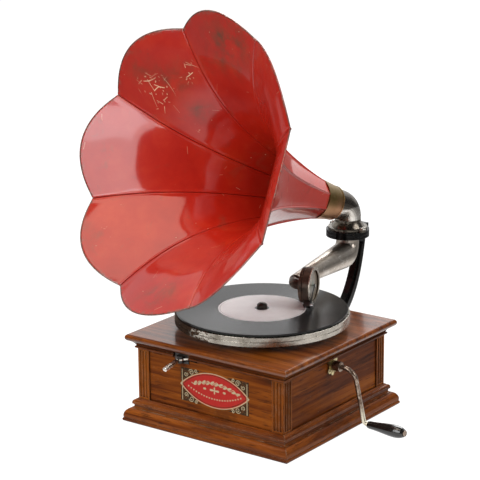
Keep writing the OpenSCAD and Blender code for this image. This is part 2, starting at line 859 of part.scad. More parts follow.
function bezier(p, t) = pow(1 - t, 3) * p[0] + 3 * pow(1 - t, 2) * t * p[1]
  + 3 * (1 - t) * t * t * p[2] + pow(t, 3) * p[3];
function bezier_dir(p, t) = let (d = pow(1 - t, 2) * (p[1] - p[0])
  + 2 * (1 - t) * t * (p[2] - p[1]) + t * t * (p[3] - p[2])) d / norm(d);

// Outline of the bracket's curved web in its own plane, back to front and up
module web_outline(share) {
  steps = 24;
  ends = [[wall_out + foot_plate_t, foot_plate_z], [pivot_y, foot_plate_z],
    [pivot_y + web_swell, foot_plate_z + web_rise * (ring_z - foot_plate_z)],
    [pivot_y + ring_r + 4, ring_z + ring_h / 2]];
  half = [for (i = [0 : steps]) share * (web_low_w + (web_top_w - web_low_w) * i / steps) / 2];
  near = [for (i = [0 : steps]) let (d = bezier_dir(ends, i / steps))
    bezier(ends, i / steps) + half[i] * [-d[1], d[0]]];
  past = [for (i = [steps : -1 : 0]) let (d = bezier_dir(ends, i / steps))
    bezier(ends, i / steps) - half[i] * [-d[1], d[0]]];
  polygon(concat(near, past));
}

module support_bracket() {
  web_t = 9;
  rib_t = 17;
  color("black") difference() {
    union() {
      translate([0, wall_out, foot_plate_z]) rotate([-90, 0, 0]) linear_extrude(foot_plate_t)
        intersection() {
          square([foot_plate_w, foot_plate_h], center = true);
          circle(r = 0.46 * norm([foot_plate_w, foot_plate_h]));
        }
      rotate([90, 0, 90]) linear_extrude(web_t, center = true) web_outline(1);
      rotate([90, 0, 90]) linear_extrude(rib_t, center = true) web_outline(0.5);
      translate([-rib_t / 2, pivot_y + ring_r - 3, ring_z - 3])
        cube([rib_t, 3 + web_top_w, ring_h + 3]);
    }
    at_pivot(0) translate([0, 0, ring_z - 20]) cylinder(r = ring_r, h = ring_h + 40);
    bracket_holes(bracket_screw_r + screw_fit, panel_t);
  }
}

module bracket_screws() {
  color("dimgray") for (sx = [-1, 1], sz = [-1, 1])
    translate([sx * (foot_plate_w / 2 - 8), wall_out + foot_plate_t,
      foot_plate_z + sz * (foot_plate_h / 2 - 8)]) rotate([90, 0, 0]) {
      difference() {
        translate([0, 0, -2.4]) cylinder(r1 = 3.2, r2 = 4.4, h = 2.4);
        translate([-5, -0.5, -3.4]) cube([10, 1, 2]);
      }
      cylinder(r = bracket_screw_r, h = foot_plate_t + panel_t - 2);
    }
}

module bracket_ring() {
  groove = 1.1;
  color("black") at_pivot(0) translate([0, 0, ring_z]) rotate_extrude() difference() {
    translate([stub_r + run_fit, 0]) square([ring_r - stub_r - run_fit, ring_h]);
    translate([0, ring_ledge]) square([stub_r + 3 + run_fit, ring_h]);
    for (z = [0.3, 0.72]) translate([ring_r - groove, z * ring_h]) square([2 * groove, groove]);
  }
}

// Turntable

module platter() {
  color("silver") rotate_extrude() difference() {
    union() {
      translate([spindle_r, platter_top - platter_t]) square([platter_r - spindle_r, platter_t]);
      translate([spindle_r, platter_z - 3]) square([hub_r - spindle_r, platter_h + 3]);
      translate([platter_r - 3, platter_z]) square([3, platter_h]);
    }
    translate([platter_r + 4.2, platter_top + 4.2 - 1.6]) circle(r = 5.2);
    translate([platter_r - 0.8, platter_z + platter_h / 2 - 0.5]) square([2, 1]);
  }
}

module platter_mat() {
  color("darkolivegreen") translate([0, 0, platter_top]) difference() {
    cylinder(r = record_r - 3, h = mat_t);
    translate([0, 0, -1]) cylinder(r = spindle_r + 1, h = mat_t + 2);
  }
}

module record() {
  edge = 0.6;
  color("dimgray") translate([0, 0, record_z]) rotate_extrude() difference() {
    translate([record_hole_r, 0]) square([record_r - record_hole_r, record_t]);
    translate([record_r, record_t]) rotate(45) square(edge * sqrt(2), center = true);
  }
}

module record_label() {
  color("white") translate([0, 0, record_top]) difference() {
    cylinder(r = label_r, h = label_t);
    translate([0, 0, -1]) cylinder(r = label_hole_r, h = label_t + 2);
  }
}

// Tone arm

arm_ahead = arm_l - crook_bend;
arm_side = crook_end;
arm_reach = norm([arm_ahead, arm_side]);
straight_l = sqrt(arm_reach * arm_reach - crook_bend * crook_bend) - arm_bend;
arm_skew = -atan2(arm_side, arm_ahead) + asin(crook_bend / arm_reach);

module tonearm_tube() {
  collar_z = ring_z + ring_ledge + move_gap;
  bend_z = arm_z + arm_bend;
  steps = 12;
  swell = arm_swell_r - stub_r;
  color("rosybrown") at_pivot(arm_angle - arm_skew) {
    translate([0, 0, bend_z]) mirror([0, 0, 1]) bent_tube(arm_bend, tube_t, concat(
      [[0, bend_z - collar_z - collar_h, stub_r]],
      [for (i = [0 : steps]) let (turn = 90 * i / steps) [turn, 0, stub_r + swell * pow(sin(turn), 2)]],
      [[90, straight_l, arm_end_r]]));
    translate([0, 0, collar_z]) difference() {
      cylinder(r = stub_r + 2.4, h = collar_h);
      translate([0, 0, -1]) cylinder(r = stub_r - 0.6, h = collar_h + 2);
    }
  }
}

module crook_solid(r) {
  translate([crook_end, -arm_ahead, 0]) rotate([0, 0, 180 - arm_skew])
    rotate_extrude(angle = 90 + arm_skew) translate([crook_bend, 0]) circle(r = r);
}

module tonearm_crook() {
  color("dimgray") at_pivot(arm_angle) translate([0, 0, arm_z]) difference() {
    union() {
      crook_solid(arm_tip_r);
      translate([crook_end - 0.5, -arm_l, 0]) bar_x(crook_pin_r, crook_pin_l + 0.5);
    }
    crook_solid(arm_tip_r - tube_t);
    translate([crook_end - 1, -arm_l, 0]) bar_x(crook_pin_r - 1.2, crook_pin_l + 2);
  }
}

// The sound box lies in its own frame, its axis along +X and its needle straight down
module at_box() {
  at_pivot(arm_angle) translate([0, -arm_l, arm_z]) rotate([-needle_lean, 0, 0]) children();
}

module soundbox_back() {
  plate = 5;
  color("sienna") at_box() difference() {
    union() {
      translate([box_back, 0, 0]) bar_x(box_r - 0.8, plate);
      translate([box_back - boss_t + move_gap, 0, 0]) rotate([0, 90, 0])
        cylinder(r1 = arm_tip_r + 2, r2 = box_r - 3.5, h = boss_t);
      translate([box_back + plate - 0.01, 0, 0]) bar_x(box_r - 3, 1.2);
    }
    translate([crook_end - 1, 0, 0]) bar_x(crook_pin_r + run_fit, box_t + boss_t);
  }
}

module soundbox_shell() {
  start = box_back + 6.19;
  color("sienna") at_box() difference() {
    translate([start, 0, 0]) bar_x(box_r, box_front - start - 1);
    translate([start - 1, 0, 0]) bar_x(box_r - 4, 20);
    translate([start - 1, 0, -box_r]) translate([0, -3.2, -3]) cube([20, 6.4, 8]);
  }
}

module diaphragm() {
  color("lightgray") at_box() translate([box_front - 3.5, 0, 0]) difference() {
    bar_x(box_r - 4, 0.6);
    translate([-1, 0, 0]) bar_x(0.9, 3);
  }
}

module soundbox_ring() {
  color("silver") at_box() difference() {
    translate([box_front - 1, 0, 0]) bar_x(box_r, 1);
    translate([box_front - 2, 0, 0]) bar_x(box_r - 4.4, 4);
    translate([box_front - 3, -3.2, -box_r - 3]) cube([20, 6.4, 9]);
  }
}

module stylus_bar() {
  bar_x0 = box_front - 2.9;
  color("dimgray") at_box() {
    translate([bar_x0 + 2.6, 0, 0]) rotate([90, 0, 90]) linear_extrude(1.2) difference() {
      union() {
        circle(r = 3);
        polygon([[-1.1, 0], [1.1, 0], [1.9, -box_r + 5], [2.7, -box_r - 1], [-2.7, -box_r - 1],
          [-1.9, -box_r + 5]]);
      }
      circle(r = 0.9);
    }
    translate([needle_at, 0, -box_r - 1]) difference() {
      translate([-4.2, -chuck_w / 2, 0.2 - chuck_h]) cube([chuck_l, chuck_w, chuck_h]);
      translate([0, 0, -2 * chuck_h]) cylinder(r = needle_r + screw_fit, h = 3 * chuck_h);
    }
  }
}

module needle_screw() {
  color("silver") at_box() {
    translate([box_front + 0.9, 0, 0]) bar_x(1.9, 0.9);
    translate([box_front - 2.9, 0, 0]) bar_x(0.8, 3.9);
    translate([needle_at - 4.2 + chuck_l, 0, -box_r - 4.2]) bar_x(2.4, 4);
  }
}

module needle() {
  point = 5;
  color("silver") at_box() translate([needle_at, 0, 0]) {
    translate([0, 0, -needle_tip]) cylinder(r1 = 0.12, r2 = needle_r, h = point);
    translate([0, 0, -needle_tip + point]) cylinder(r = needle_r, h = needle_tip - point - box_r - 0.6);
  }
}

// Horn

module at_horn() {
  at_pivot(-horn_swivel) translate([0, 0, horn_z]) rotate([90 - horn_tilt, 0, 0]) children();
}

module elbow_flange() {
  spigot_r = stub_r + 3;
  neck_end = horn_z - elbow_run;
  color("silver") at_pivot(-horn_swivel) difference() {
    union() {
      translate([0, 0, ring_z + ring_ledge + 2 * move_gap + collar_h])
        cylinder(r = spigot_r, h = ring_h - ring_ledge - move_gap - collar_h);
      translate([0, 0, flange_z]) linear_extrude(flange_t) {
        circle(r = flange_r);
        for (side = [-1, 1]) translate([side * lug_x, 0]) circle(r = 6);
      }
      intersection() {
        translate([0, 0, flange_z + flange_t - dome_down]) sphere(r = dome_r);
        translate([0, 0, flange_z + flange_t - 0.01]) cylinder(r = dome_foot_r, h = 2 * dome_h);
      }
      translate([0, 0, flange_z + flange_t]) cylinder(r = elbow_r, h = neck_end - flange_z - flange_t);
    }
    translate([0, 0, ring_z]) cylinder(r = arm_r - tube_t, h = flange_z + flange_t - ring_z);
    translate([0, 0, flange_z + flange_t - 0.5]) cylinder(r = elbow_r - tube_t, h = elbow_bend * 2);
    for (side = [-1, 1]) translate([side * lug_x, 0, flange_z - 1])
      cylinder(r = 1.6 + screw_fit, h = 10);
  }
}

module flange_screws() {
  color("silver") at_pivot(-horn_swivel) for (side = [-1, 1])
    translate([side * lug_x, 0, flange_z]) {
      cylinder(r = 1.6, h = flange_t + 0.5);
      difference() {
        translate([0, 0, flange_t]) cylinder(r1 = 3.6, r2 = 2.6, h = 2.4);
        translate([-4, -0.4, flange_t + 1.4]) cube([8, 0.8, 2]);
      }
    }
}

module horn_elbow() {
  steps = 12;
  full = elbow_bend * elbow_turn * PI / 180 + elbow_end_l;
  swell = elbow_end_r - elbow_r;
  color("silver") at_pivot(-horn_swivel) translate([0, 0, horn_z - elbow_run])
    bent_tube(elbow_bend, tube_t, concat([for (i = [0 : steps]) let (turn = elbow_turn * i / steps)
      [turn, 0, elbow_r + swell * elbow_bend * turn * PI / 180 / full]],
      [[elbow_turn, elbow_end_l, elbow_end_r]]));
}

module horn_ferrule() {
  wall = 1.2;
  end_r = throat_r + 0.4;
  color("darkgoldenrod") at_horn() difference() {
    union() {
      translate([0, 0, ferrule_s]) cylinder(r1 = ferrule_r, r2 = end_r, h = ferrule_l);
      translate([0, 0, ferrule_s]) cylinder(r = ferrule_r + 0.9, h = 2.5);
    }
    translate([0, 0, ferrule_s + 2]) cylinder(r1 = ferrule_r - wall, r2 = end_r - wall,
      h = ferrule_l - 1.98);
    translate([0, 0, ferrule_s - 1]) cylinder(r = elbow_end_r - tube_t, h = ferrule_l / 2);
  }
}

// Radius of the seam line and its slope, t from 0 at the ferrule to 1 at the notches
flare_a = ln(mouth_r / throat_r) - flare;
function seam_r(t) = throat_r * exp(t * (flare_a + flare * pow(t, 3)));
function seam_slope(t) = seam_r(t) * (flare_a + 4 * flare * pow(t, 3)) / bell_l;
function sag(t) = seam_r(t) * (0.02 + 0.153 * pow(t, 1.7));

// A point of one petal: t along it, x its place across in half widths, out its height off the sheet
function petal_point(t, x, out) = let (
    r = seam_r(t),
    rho = r * cos(petal_half) + sag(t) * (1 - x * x),
    xi = r * sin(petal_half) * x,
    lean = atan(seam_slope(t)),
    reach = throat_s + bell_l * t + petal_reach * (1 - x * x) * pow(t, 4),
    big_r = norm([rho, xi]) + out * cos(lean),
    turn = atan2(xi, rho))
  [big_r * cos(turn), big_r * sin(turn), reach - out * sin(lean)];

petal_rings = 20;
petal_across = 9;
rim_share = 0.985;

// Places across the petal: a folded lip on each edge and the sheet between
function across(t) = let (
    lip = seam_w / (seam_r(t) * sin(petal_half)),
    inner = 1 - 1.6 * lip)
  concat([[-1, seam_h], [-1 + lip, seam_h]],
    [for (j = [0 : petal_across]) [inner * (2 * j / petal_across - 1), 0]],
    [[1 - lip, seam_h], [1, seam_h]]);

module horn_petal(index) {
  rows = [for (i = [0 : petal_rings - 1]) rim_share * i / (petal_rings - 1)];
  all_t = concat(rows, [rim_share + 0.002, 1]);
  n = petal_across + 5;
  m = len(all_t);
  top = [for (t = all_t) for (a = across(t))
    petal_point(t, a[0], a[1] + (t > rim_share ? rim_t - sheet_t : 0))];
  under = [for (t = all_t) for (a = across(t)) petal_point(t, a[0], -sheet_t)];
  faces_top = [for (i = [0 : m - 2], j = [0 : n - 2])
    each [[i * n + j, i * n + j + 1, (i + 1) * n + j + 1],
      [i * n + j, (i + 1) * n + j + 1, (i + 1) * n + j]]];
  faces_under = [for (f = faces_top) [f[2] + m * n, f[1] + m * n, f[0] + m * n]];
  start = [for (j = [0 : n - 2]) each [[j + 1, j, m * n + j], [j + 1, m * n + j, m * n + j + 1]]];
  finish = [for (j = [0 : n - 2]) let (k = (m - 1) * n)
    each [[k + j, k + j + 1, m * n + k + j], [k + j + 1, m * n + k + j + 1, m * n + k + j]]];
  left = [for (i = [0 : m - 2]) let (a = i * n, b = (i + 1) * n)
    each [[a, b, m * n + a], [b, m * n + b, m * n + a]]];
  right = [for (i = [0 : m - 2]) let (a = i * n + n - 1, b = (i + 1) * n + n - 1)
    each [[b, a, m * n + a], [b, m * n + a, m * n + b]]];
  color("firebrick") at_horn() rotate([0, 0, 90 + petal_turn + index * 360 / petals])
    polyhedron(concat(top, under), concat(faces_top, faces_under, start, finish, left, right));
}

lid_board();
bed_moulding();
front_panel();
back_panel();
left_panel();
right_panel();
corner_posts();
plinth();
base_board();
feet();
motor_plate();
motor_pillars();
motor_lower_plate();
crank_escutcheon();
crank_bush();
brake_bracket();
support_bracket();
bracket_screws();
bracket_ring();
platter();
platter_mat();
record();
record_label();
spindle();
governor_wheel();
spring_barrel();
great_wheel();
mainspring();
barrel_arbor();
winding_wheel();
crank_shaft();
winding_pinion();
crank_arm();
crank_handle();
governor_shaft();
governor_weights();
brake_lever();
brake_knob();
tonearm_tube();
tonearm_crook();
soundbox_back();
soundbox_shell();
diaphragm();
soundbox_ring();
stylus_bar();
needle_screw();
needle();
elbow_flange();
flange_screws();
horn_elbow();
horn_ferrule();
for (i = [1 : petals]) horn_petal(i - 1);
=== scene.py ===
import math

import bmesh
import bpy
import numpy as np
from mathutils import Matrix, Vector, noise


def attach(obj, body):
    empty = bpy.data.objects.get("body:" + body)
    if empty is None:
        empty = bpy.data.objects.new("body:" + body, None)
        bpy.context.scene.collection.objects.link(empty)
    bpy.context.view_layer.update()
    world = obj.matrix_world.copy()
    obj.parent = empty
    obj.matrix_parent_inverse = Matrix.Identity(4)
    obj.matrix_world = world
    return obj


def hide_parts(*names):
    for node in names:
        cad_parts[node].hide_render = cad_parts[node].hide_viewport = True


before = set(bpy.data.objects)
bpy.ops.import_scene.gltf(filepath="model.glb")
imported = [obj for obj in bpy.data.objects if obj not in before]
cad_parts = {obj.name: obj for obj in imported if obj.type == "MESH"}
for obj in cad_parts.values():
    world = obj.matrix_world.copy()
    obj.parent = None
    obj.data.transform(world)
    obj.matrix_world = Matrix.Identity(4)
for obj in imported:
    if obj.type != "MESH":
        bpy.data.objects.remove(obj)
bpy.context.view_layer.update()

# The studio: a long lens that looks down a little, a white paper floor, and a white wall behind
# and to the left. Two soft lamps stand in front of the horn, with a warm one overhead, one on
# the crank's side and one behind.
MM = 0.001
YAW, DIP, ROLL = 0.6376, 0.2723, -0.0080
FOCAL_PX, PHOTO_PX, SENSOR_MM = 1930.43, 480, 36
CAMERA_AT = Vector((1563.03, -2162.34, 1008.18)) * MM
WHITE = (1, 1, 1, 1)
WALL_SIDE = (-0.80, 0.60, 0.0)
ROOM_LIGHT, ROOM_TINT = 0.16, (0.98, 0.99, 1.0, 1)
FLOOR_Z, FLOOR_REACH = -3 * MM, 14
PAPER_GREY = (0.18, 0.18, 0.18, 1)

ahead = Vector((-math.sin(YAW) * math.cos(DIP), math.cos(YAW) * math.cos(DIP), -math.sin(DIP)))
level = Vector((math.cos(YAW), math.sin(YAW), 0))
upright = level.cross(ahead)
right = math.cos(ROLL) * level + math.sin(ROLL) * upright
top = -math.sin(ROLL) * level + math.cos(ROLL) * upright
lens = bpy.data.cameras.new("camera")
lens.sensor_width = SENSOR_MM
lens.lens = SENSOR_MM * FOCAL_PX / PHOTO_PX
lens.clip_start, lens.clip_end = 0.1, 60
camera = bpy.data.objects.new("camera", lens)
camera.matrix_world = Matrix.Translation(CAMERA_AT) @ Matrix((right, top, -ahead)).transposed().to_4x4()
bpy.context.scene.collection.objects.link(camera)
bpy.context.scene.camera = camera
bpy.context.scene.view_settings.view_transform = "Standard"


def feed(tree, socket, value):
    """Links an output to a socket, or writes a plain value on it."""
    if isinstance(value, bpy.types.NodeSocket):
        tree.links.new(value, socket)
    elif value is not None:
        socket.default_value = value


def add(tree, kind, sockets=(), **settings):
    """One node of a finish, with its sockets fed."""
    made = tree.nodes.new("ShaderNode" + kind)
    for key, value in settings.items():
        setattr(made, key, value)
    for key, value in dict(sockets).items():
        feed(tree, made.inputs[key], value)
    return made


def calc(tree, kind, *values):
    made = add(tree, "Math", operation=kind)
    for socket, value in zip(made.inputs, values):
        feed(tree, socket, value)
    return made.outputs[0]


def fade(tree, value, low, high, to=(0.0, 1.0)):
    """A smooth change from to[0] to to[1] while value goes from low to high."""
    ends = {"From Min": low, "From Max": high, "To Min": to[0], "To Max": to[1]}
    return add(tree, "MapRange", {"Value": value, **ends}, interpolation_type="SMOOTHSTEP").outputs[0]


def seen_or_mirrored(tree):
    """1 for rays that see the background, and 1 for those that see it or carry its mirror image."""
    path = add(tree, "LightPath").outputs
    rays = calc(tree, "MAXIMUM", path["Is Camera Ray"], path["Is Glossy Ray"])
    return path["Is Camera Ray"], calc(tree, "MAXIMUM", rays, path["Is Transmission Ray"])


def soft_lamp(name, at, aim, size, brightness, colour=(1, 1, 1)):
    """A white cloth with a lamp behind it; brightness is that of the cloth itself."""
    lamp = bpy.data.lights.new(name, "AREA")
    lamp.shape = "RECTANGLE"
    lamp.size, lamp.size_y = size
    lamp.energy = brightness * math.pi * size[0] * size[1]
    lamp.color = colour
    holder = bpy.data.objects.new(name, lamp)
    holder.location = at
    holder.rotation_euler = (Vector(aim) - Vector(at)).to_track_quat("-Z", "Y").to_euler()
    bpy.context.scene.collection.objects.link(holder)


world = bpy.data.worlds.new("studio")
bpy.context.scene.world = world
world.use_nodes = True
room = world.node_tree
room.nodes.clear()
to_camera, backdrop = seen_or_mirrored(room)
heading = add(room, "TexCoord").outputs["Generated"]
towards = add(room, "VectorMath", {0: heading, 1: WALL_SIDE}, operation="DOT_PRODUCT").outputs["Value"]
height = add(room, "SeparateXYZ", {0: heading}).outputs[2]
below_top = fade(room, height, 0.92, 0.75, (0.2, 1.0))
wall = calc(room, "MULTIPLY", fade(room, towards, 0.15, 0.5, (0.06, 1.0)), below_top)
lighting = add(room, "Background", {"Color": ROOM_TINT, "Strength": ROOM_LIGHT}).outputs[0]
seen_wall = calc(room, "MAXIMUM", wall, to_camera)
shown = add(room, "Background", {"Color": WHITE, "Strength": seen_wall}).outputs[0]
either = add(room, "MixShader", {0: backdrop, 1: lighting, 2: shown}).outputs[0]
add(room, "OutputWorld", {"Surface": either})

soft_lamp("front_lamp", at=(-0.12, -2.2, 1.15), aim=(-0.1, 0, 0.75), size=(1.5, 1.55), brightness=4.3)
soft_lamp("front_glow", at=(-0.12, -2.1, 1.6), aim=(-0.1, 0, 0.6), size=(1.25, 0.8), brightness=2.4,
          colour=(0.88, 0.94, 1.0))
soft_lamp("top_lamp", at=(-0.45, -0.9, 2.4), aim=(-0.2, -0.3, 0), size=(1.7, 2.0), brightness=3.2,
          colour=(1.0, 0.86, 0.72))
soft_lamp("crank_side_lamp", at=(2.0, 0.75, 1.45), aim=(0, 0, 0.15), size=(1.4, 1.4), brightness=4.6)
soft_lamp("back_lamp", at=(-0.75, 2.0, 1.9), aim=(0, 0, 0.2), size=(1.5, 1.3), brightness=7.0)

floor_mesh = bpy.data.meshes.new("floor")
floor_corners = [(x * FLOOR_REACH, y * FLOOR_REACH, FLOOR_Z) for x, y in ((-1, -1), (1, -1), (1, 1), (-1, 1))]
floor_mesh.from_pydata(floor_corners, [], [(0, 1, 2, 3)])
floor = bpy.data.objects.new("floor", floor_mesh)
bpy.context.scene.collection.objects.link(floor)
paper = bpy.data.materials.new("white_paper")
paper.use_nodes = True
paper_mix = paper.node_tree
surface = paper_mix.nodes["Principled BSDF"].inputs
surface["Base Color"].default_value = PAPER_GREY
surface["Roughness"].default_value = 0.9
surface["Specular IOR Level"].default_value = 0.0
surface["Emission Color"].default_value = WHITE
to_camera, backdrop = seen_or_mirrored(paper_mix)
place = add(paper_mix, "TexCoord").outputs["Object"]
distance = add(paper_mix, "VectorMath", {0: place}, operation="LENGTH").outputs["Value"]
seen_paper = calc(paper_mix, "MULTIPLY", to_camera, fade(paper_mix, distance, 0.35, 1.6, (0.82, 1.0)))
glow = calc(paper_mix, "MAXIMUM", fade(paper_mix, distance, 0.85, 0.45, (0.04, 1.0)), seen_paper)
feed(paper_mix, surface["Emission Strength"], calc(paper_mix, "MULTIPLY", glow, backdrop))
floor_mesh.materials.append(paper)

# The cabinet's woodwork: quarter-sawn oak under an old reddish varnish. Panels stand between
# fluted corner posts, and the mouldings run round in mitred lengths, so each piece has its grain
# along its own length. Edges are rubbed pale, and the quirks and the places under ledges are
# darkened, partly by old polish and partly as painted shade.


class Finish:
    """A finish as it is mixed up: every node feeds one surface shader."""

    def __init__(self, name, **plain):
        self.material = bpy.data.materials.new(name)
        self.material.use_nodes = True
        self.tree = self.material.node_tree
        self.surface = self.tree.nodes["Principled BSDF"].inputs
        self.at = add(self.tree, "TexCoord").outputs["Object"]
        for key, value in plain.items():
            self.surface[key.replace("_", " ").title().replace("Ior", "IOR")].default_value = value

    def parts(self, place=None):
        """The three numbers of a place, or of another vector."""
        return add(self.tree, "SeparateXYZ", {0: place or self.at}).outputs

    def stretched(self, scale, place=None):
        return add(self.tree, "Mapping", {"Vector": place or self.at, "Scale": scale}).outputs[0]

    def cloud(self, scale, detail=4.0, rough=0.55, place=None, warp=0.0):
        """Soft random patches, about 1/scale metres across, from 0 to 1."""
        feel = {"Scale": scale, "Detail": detail, "Roughness": rough, "Distortion": warp}
        return add(self.tree, "TexNoise", {"Vector": place or self.at, **feel}).outputs["Fac"]

    def step(self, value, low, high, to=(0.0, 1.0)):
        """A straight change from to[0] to to[1] while value goes from low to high."""
        ends = {"From Min": low, "From Max": high, "To Min": to[0], "To Max": to[1]}
        return add(self.tree, "MapRange", {"Value": value, **ends}).outputs[0]

    def calc(self, kind, *values):
        return calc(self.tree, kind, *values)

    def times(self, first, second):
        return calc(self.tree, "MULTIPLY", first, second)

    def scaled(self, value, by, plus):
        return calc(self.tree, "MULTIPLY_ADD", value, by, plus)

    def colours(self, share, *stops):
        """A colour that runs through the stops as share goes from 0 to 1."""
        band = add(self.tree, "ValToRGB", {"Fac": share})
        ramp = band.color_ramp
        while len(ramp.elements) < len(stops):
            ramp.elements.new(0.5)
        for element, (place, colour) in zip(ramp.elements, stops):
            element.position = place
            element.color = (*colour, 1)
        return band.outputs[0]

    def over(self, share, under, upper):
        """The upper colour laid over the under one, as far as share says."""
        made = add(self.tree, "Mix", data_type="RGBA")
        feed(self.tree, made.inputs[0], share)
        for socket, value in ((made.inputs[6], under), (made.inputs[7], upper)):
            feed(self.tree, socket, (*value, 1) if isinstance(value, tuple) else value)
        return made.outputs[2]

    def near(self, centre, radius, ragged, scale):
        """1 at a place given in millimetres, 0 beyond radius, with a ragged edge."""
        middle = tuple(c * MM for c in centre)
        gap = add(self.tree, "VectorMath", {0: self.at, 1: middle}, operation="DISTANCE").outputs["Value"]
        rough_gap = self.scaled(self.cloud(scale, 5.0, 0.65), radius * MM * 2 * ragged, gap)
        return self.step(rough_gap, radius * MM * (1 + ragged), radius * MM * (0.25 + ragged))

    def from_spindle(self):
        """The distance from the turntable's axis, in metres."""
        x, y, _ = self.parts()
        return self.calc("SQRT", self.calc("ADD", self.times(x, x), self.times(y, y)))

    def edges(self, radius):
        """1 on a sharp edge, 0 on flat places, and the normal with those edges eased."""
        eased = add(self.tree, "Bevel", {"Radius": radius * MM}, samples=4).outputs[0]
        plain = add(self.tree, "NewGeometry").outputs["Normal"]
        same = add(self.tree, "VectorMath", {0: eased, 1: plain}, operation="DOT_PRODUCT").outputs["Value"]
        return self.step(same, 0.995, 0.85), eased

    def corners(self, reach_mm):
        """1 in the open, lower in quirks and under ledges."""
        return add(self.tree, "AmbientOcclusion", {"Distance": reach_mm * MM}, samples=6).outputs["AO"]

    def raise_by(self, height, depth, normal=None, strength=1.0):
        """Fine relief, depth millimetres high, on the normal given."""
        relief = {"Height": height, "Distance": depth * MM, "Strength": strength, "Normal": normal}
        self.normal(add(self.tree, "Bump", relief).outputs[0])

    def normal(self, value):
        feed(self.tree, self.surface["Normal"], value)

    def colour(self, value):
        feed(self.tree, self.surface["Base Color"], value)

    def rough(self, value):
        feed(self.tree, self.surface["Roughness"], value)

    def dress(self, *names):
        """Puts the finish on CAD nodes."""
        for name in names:
            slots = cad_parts[name].material_slots
            if not slots:
                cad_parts[name].data.materials.append(self.material)
            for slot in slots:
                slot.material = self.material


def along_grain(wood, direction):
    """The place on a piece, turned so that its first number runs along the grain."""
    part = wood.parts()
    across = {"x": (0, 1, 2), "y": (1, 0, 2), "z": (2, 1, 0), "mitred": (1, 0, 2)}[direction]
    turned = add(wood.tree, "CombineXYZ", {i: part[a] for i, a in enumerate(across)}).outputs[0]
    if direction != "mitred":
        return turned
    side = wood.calc("GREATER_THAN", wood.calc("ABSOLUTE", part[0]), wood.calc("ABSOLUTE", part[1]))
    pick = add(wood.tree, "Mix", data_type="VECTOR")
    for socket, value in ((0, side), (4, wood.at), (5, turned)):
        feed(wood.tree, pick.inputs[socket], value)
    return pick.outputs[1]


def oak(name, direction, dark=0.0, worn=0.5, offset=(0, 0, 0), gloss=0.42, coat=0.05):
    """Oak with its figure, pores and rays, then the rubbing, dirt, nicks and painted shade on top of them."""
    wood = Finish(name, coat_weight=coat, coat_roughness=0.16, specular_ior_level=0.06)
    grain = along_grain(wood, direction)
    shifted = add(wood.tree, "Mapping", {"Vector": grain, "Location": offset}).outputs[0]
    figure = wood.cloud(13, 3.0, 0.5, wood.stretched((0.16, 1, 1), shifted), 1.3)
    streak = wood.cloud(120, 5.0, 0.62, wood.stretched((0.045, 1, 1), shifted), 0.4)
    pores = wood.cloud(620, 2.0, 0.5, wood.stretched((0.06, 1, 1), shifted))
    fleck = wood.cloud(70, 2.0, 0.6, wood.stretched((0.5, 1.6, 0.5), shifted), 0.6)
    tone = wood.scaled(streak, 0.95, wood.scaled(figure, 0.75, -0.36 - dark))
    colour = wood.colours(tone, (0.16, (0.042, 0.0075, 0.001)), (0.38, (0.135, 0.029, 0.003)),
                          (0.55, (0.25, 0.062, 0.006)), (0.75, (0.37, 0.105, 0.012)),
                          (0.95, (0.48, 0.165, 0.028)))
    pore = wood.step(pores, 0.40, 0.33)
    colour = wood.over(wood.times(pore, 0.7), colour, (0.028, 0.007, 0.002))
    ray = wood.times(wood.step(fleck, 0.62, 0.72), 0.28)
    colour = wood.over(ray, colour, (0.28, 0.095, 0.020))
    edge, eased = wood.edges(1.5)
    rubbed = wood.times(edge, wood.step(wood.cloud(75, 6.0, 0.75), 0.42, 0.58, (0.05, worn)))
    colour = wood.over(rubbed, colour, (0.40, 0.27, 0.18))
    grubby = wood.step(wood.cloud(22, 6.0, 0.7), 0.54, 0.70, (0.0, 0.55))
    colour = wood.over(grubby, colour, (0.045, 0.014, 0.004))
    nicked = wood.step(wood.cloud(12), 0.45, 0.6, (0, 0.8))
    nicks = wood.times(wood.step(wood.cloud(310, 3.0, 0.6), 0.70, 0.75), nicked)
    colour = wood.over(nicks, colour, (0.34, 0.22, 0.14))
    # Dark in quirks and under ledges: partly old polish, partly painted shade.
    polish_and_painted_shade = wood.step(wood.corners(7), 0.80, 0.35, (0.0, 0.9))
    wood.colour(wood.over(polish_and_painted_shade, colour, (0.016, 0.005, 0.002)))
    wood.rough(wood.step(streak, 0.25, 0.75, (gloss + 0.14, gloss)))
    wood.raise_by(wood.scaled(pore, -0.6, streak), 0.22, eased, 0.6)
    return wood


oak("oak_lid", "x", dark=0.02, worn=0.8, gloss=0.30, coat=0.9).dress("lid_board")
oak("oak_front", "x", dark=-0.03, offset=(0.3, 0.1, 0.7)).dress("front_panel", "back_panel")
oak("oak_sides", "y", offset=(0.1, 0.5, 0.2)).dress("left_panel", "right_panel")
oak("oak_posts", "z", dark=-0.03, worn=0.7, offset=(0.9, 0.3, 0.4)).dress("corner_posts")
oak("oak_mouldings", "mitred", dark=0.06, worn=0.6, offset=(0.2, 0.7, 0.1), coat=0.3).dress("bed_moulding")
oak("oak_plinth", "mitred", dark=0.02, worn=0.85, offset=(0.6, 0.2, 0.3), coat=0.25).dress(
    "plinth", "base_board")

# Feet: four small turned buffers of pale hardwood, glued under the base board and rubbed
# bare by the table.
foot_wood = Finish("pale_buffer", roughness=0.6)
bare_tone = foot_wood.cloud(220, 4.0)
foot_wood.colour(foot_wood.colours(bare_tone, (0.3, (0.30, 0.22, 0.15)), (0.7, (0.58, 0.50, 0.41))))
foot_wood.dress("feet")

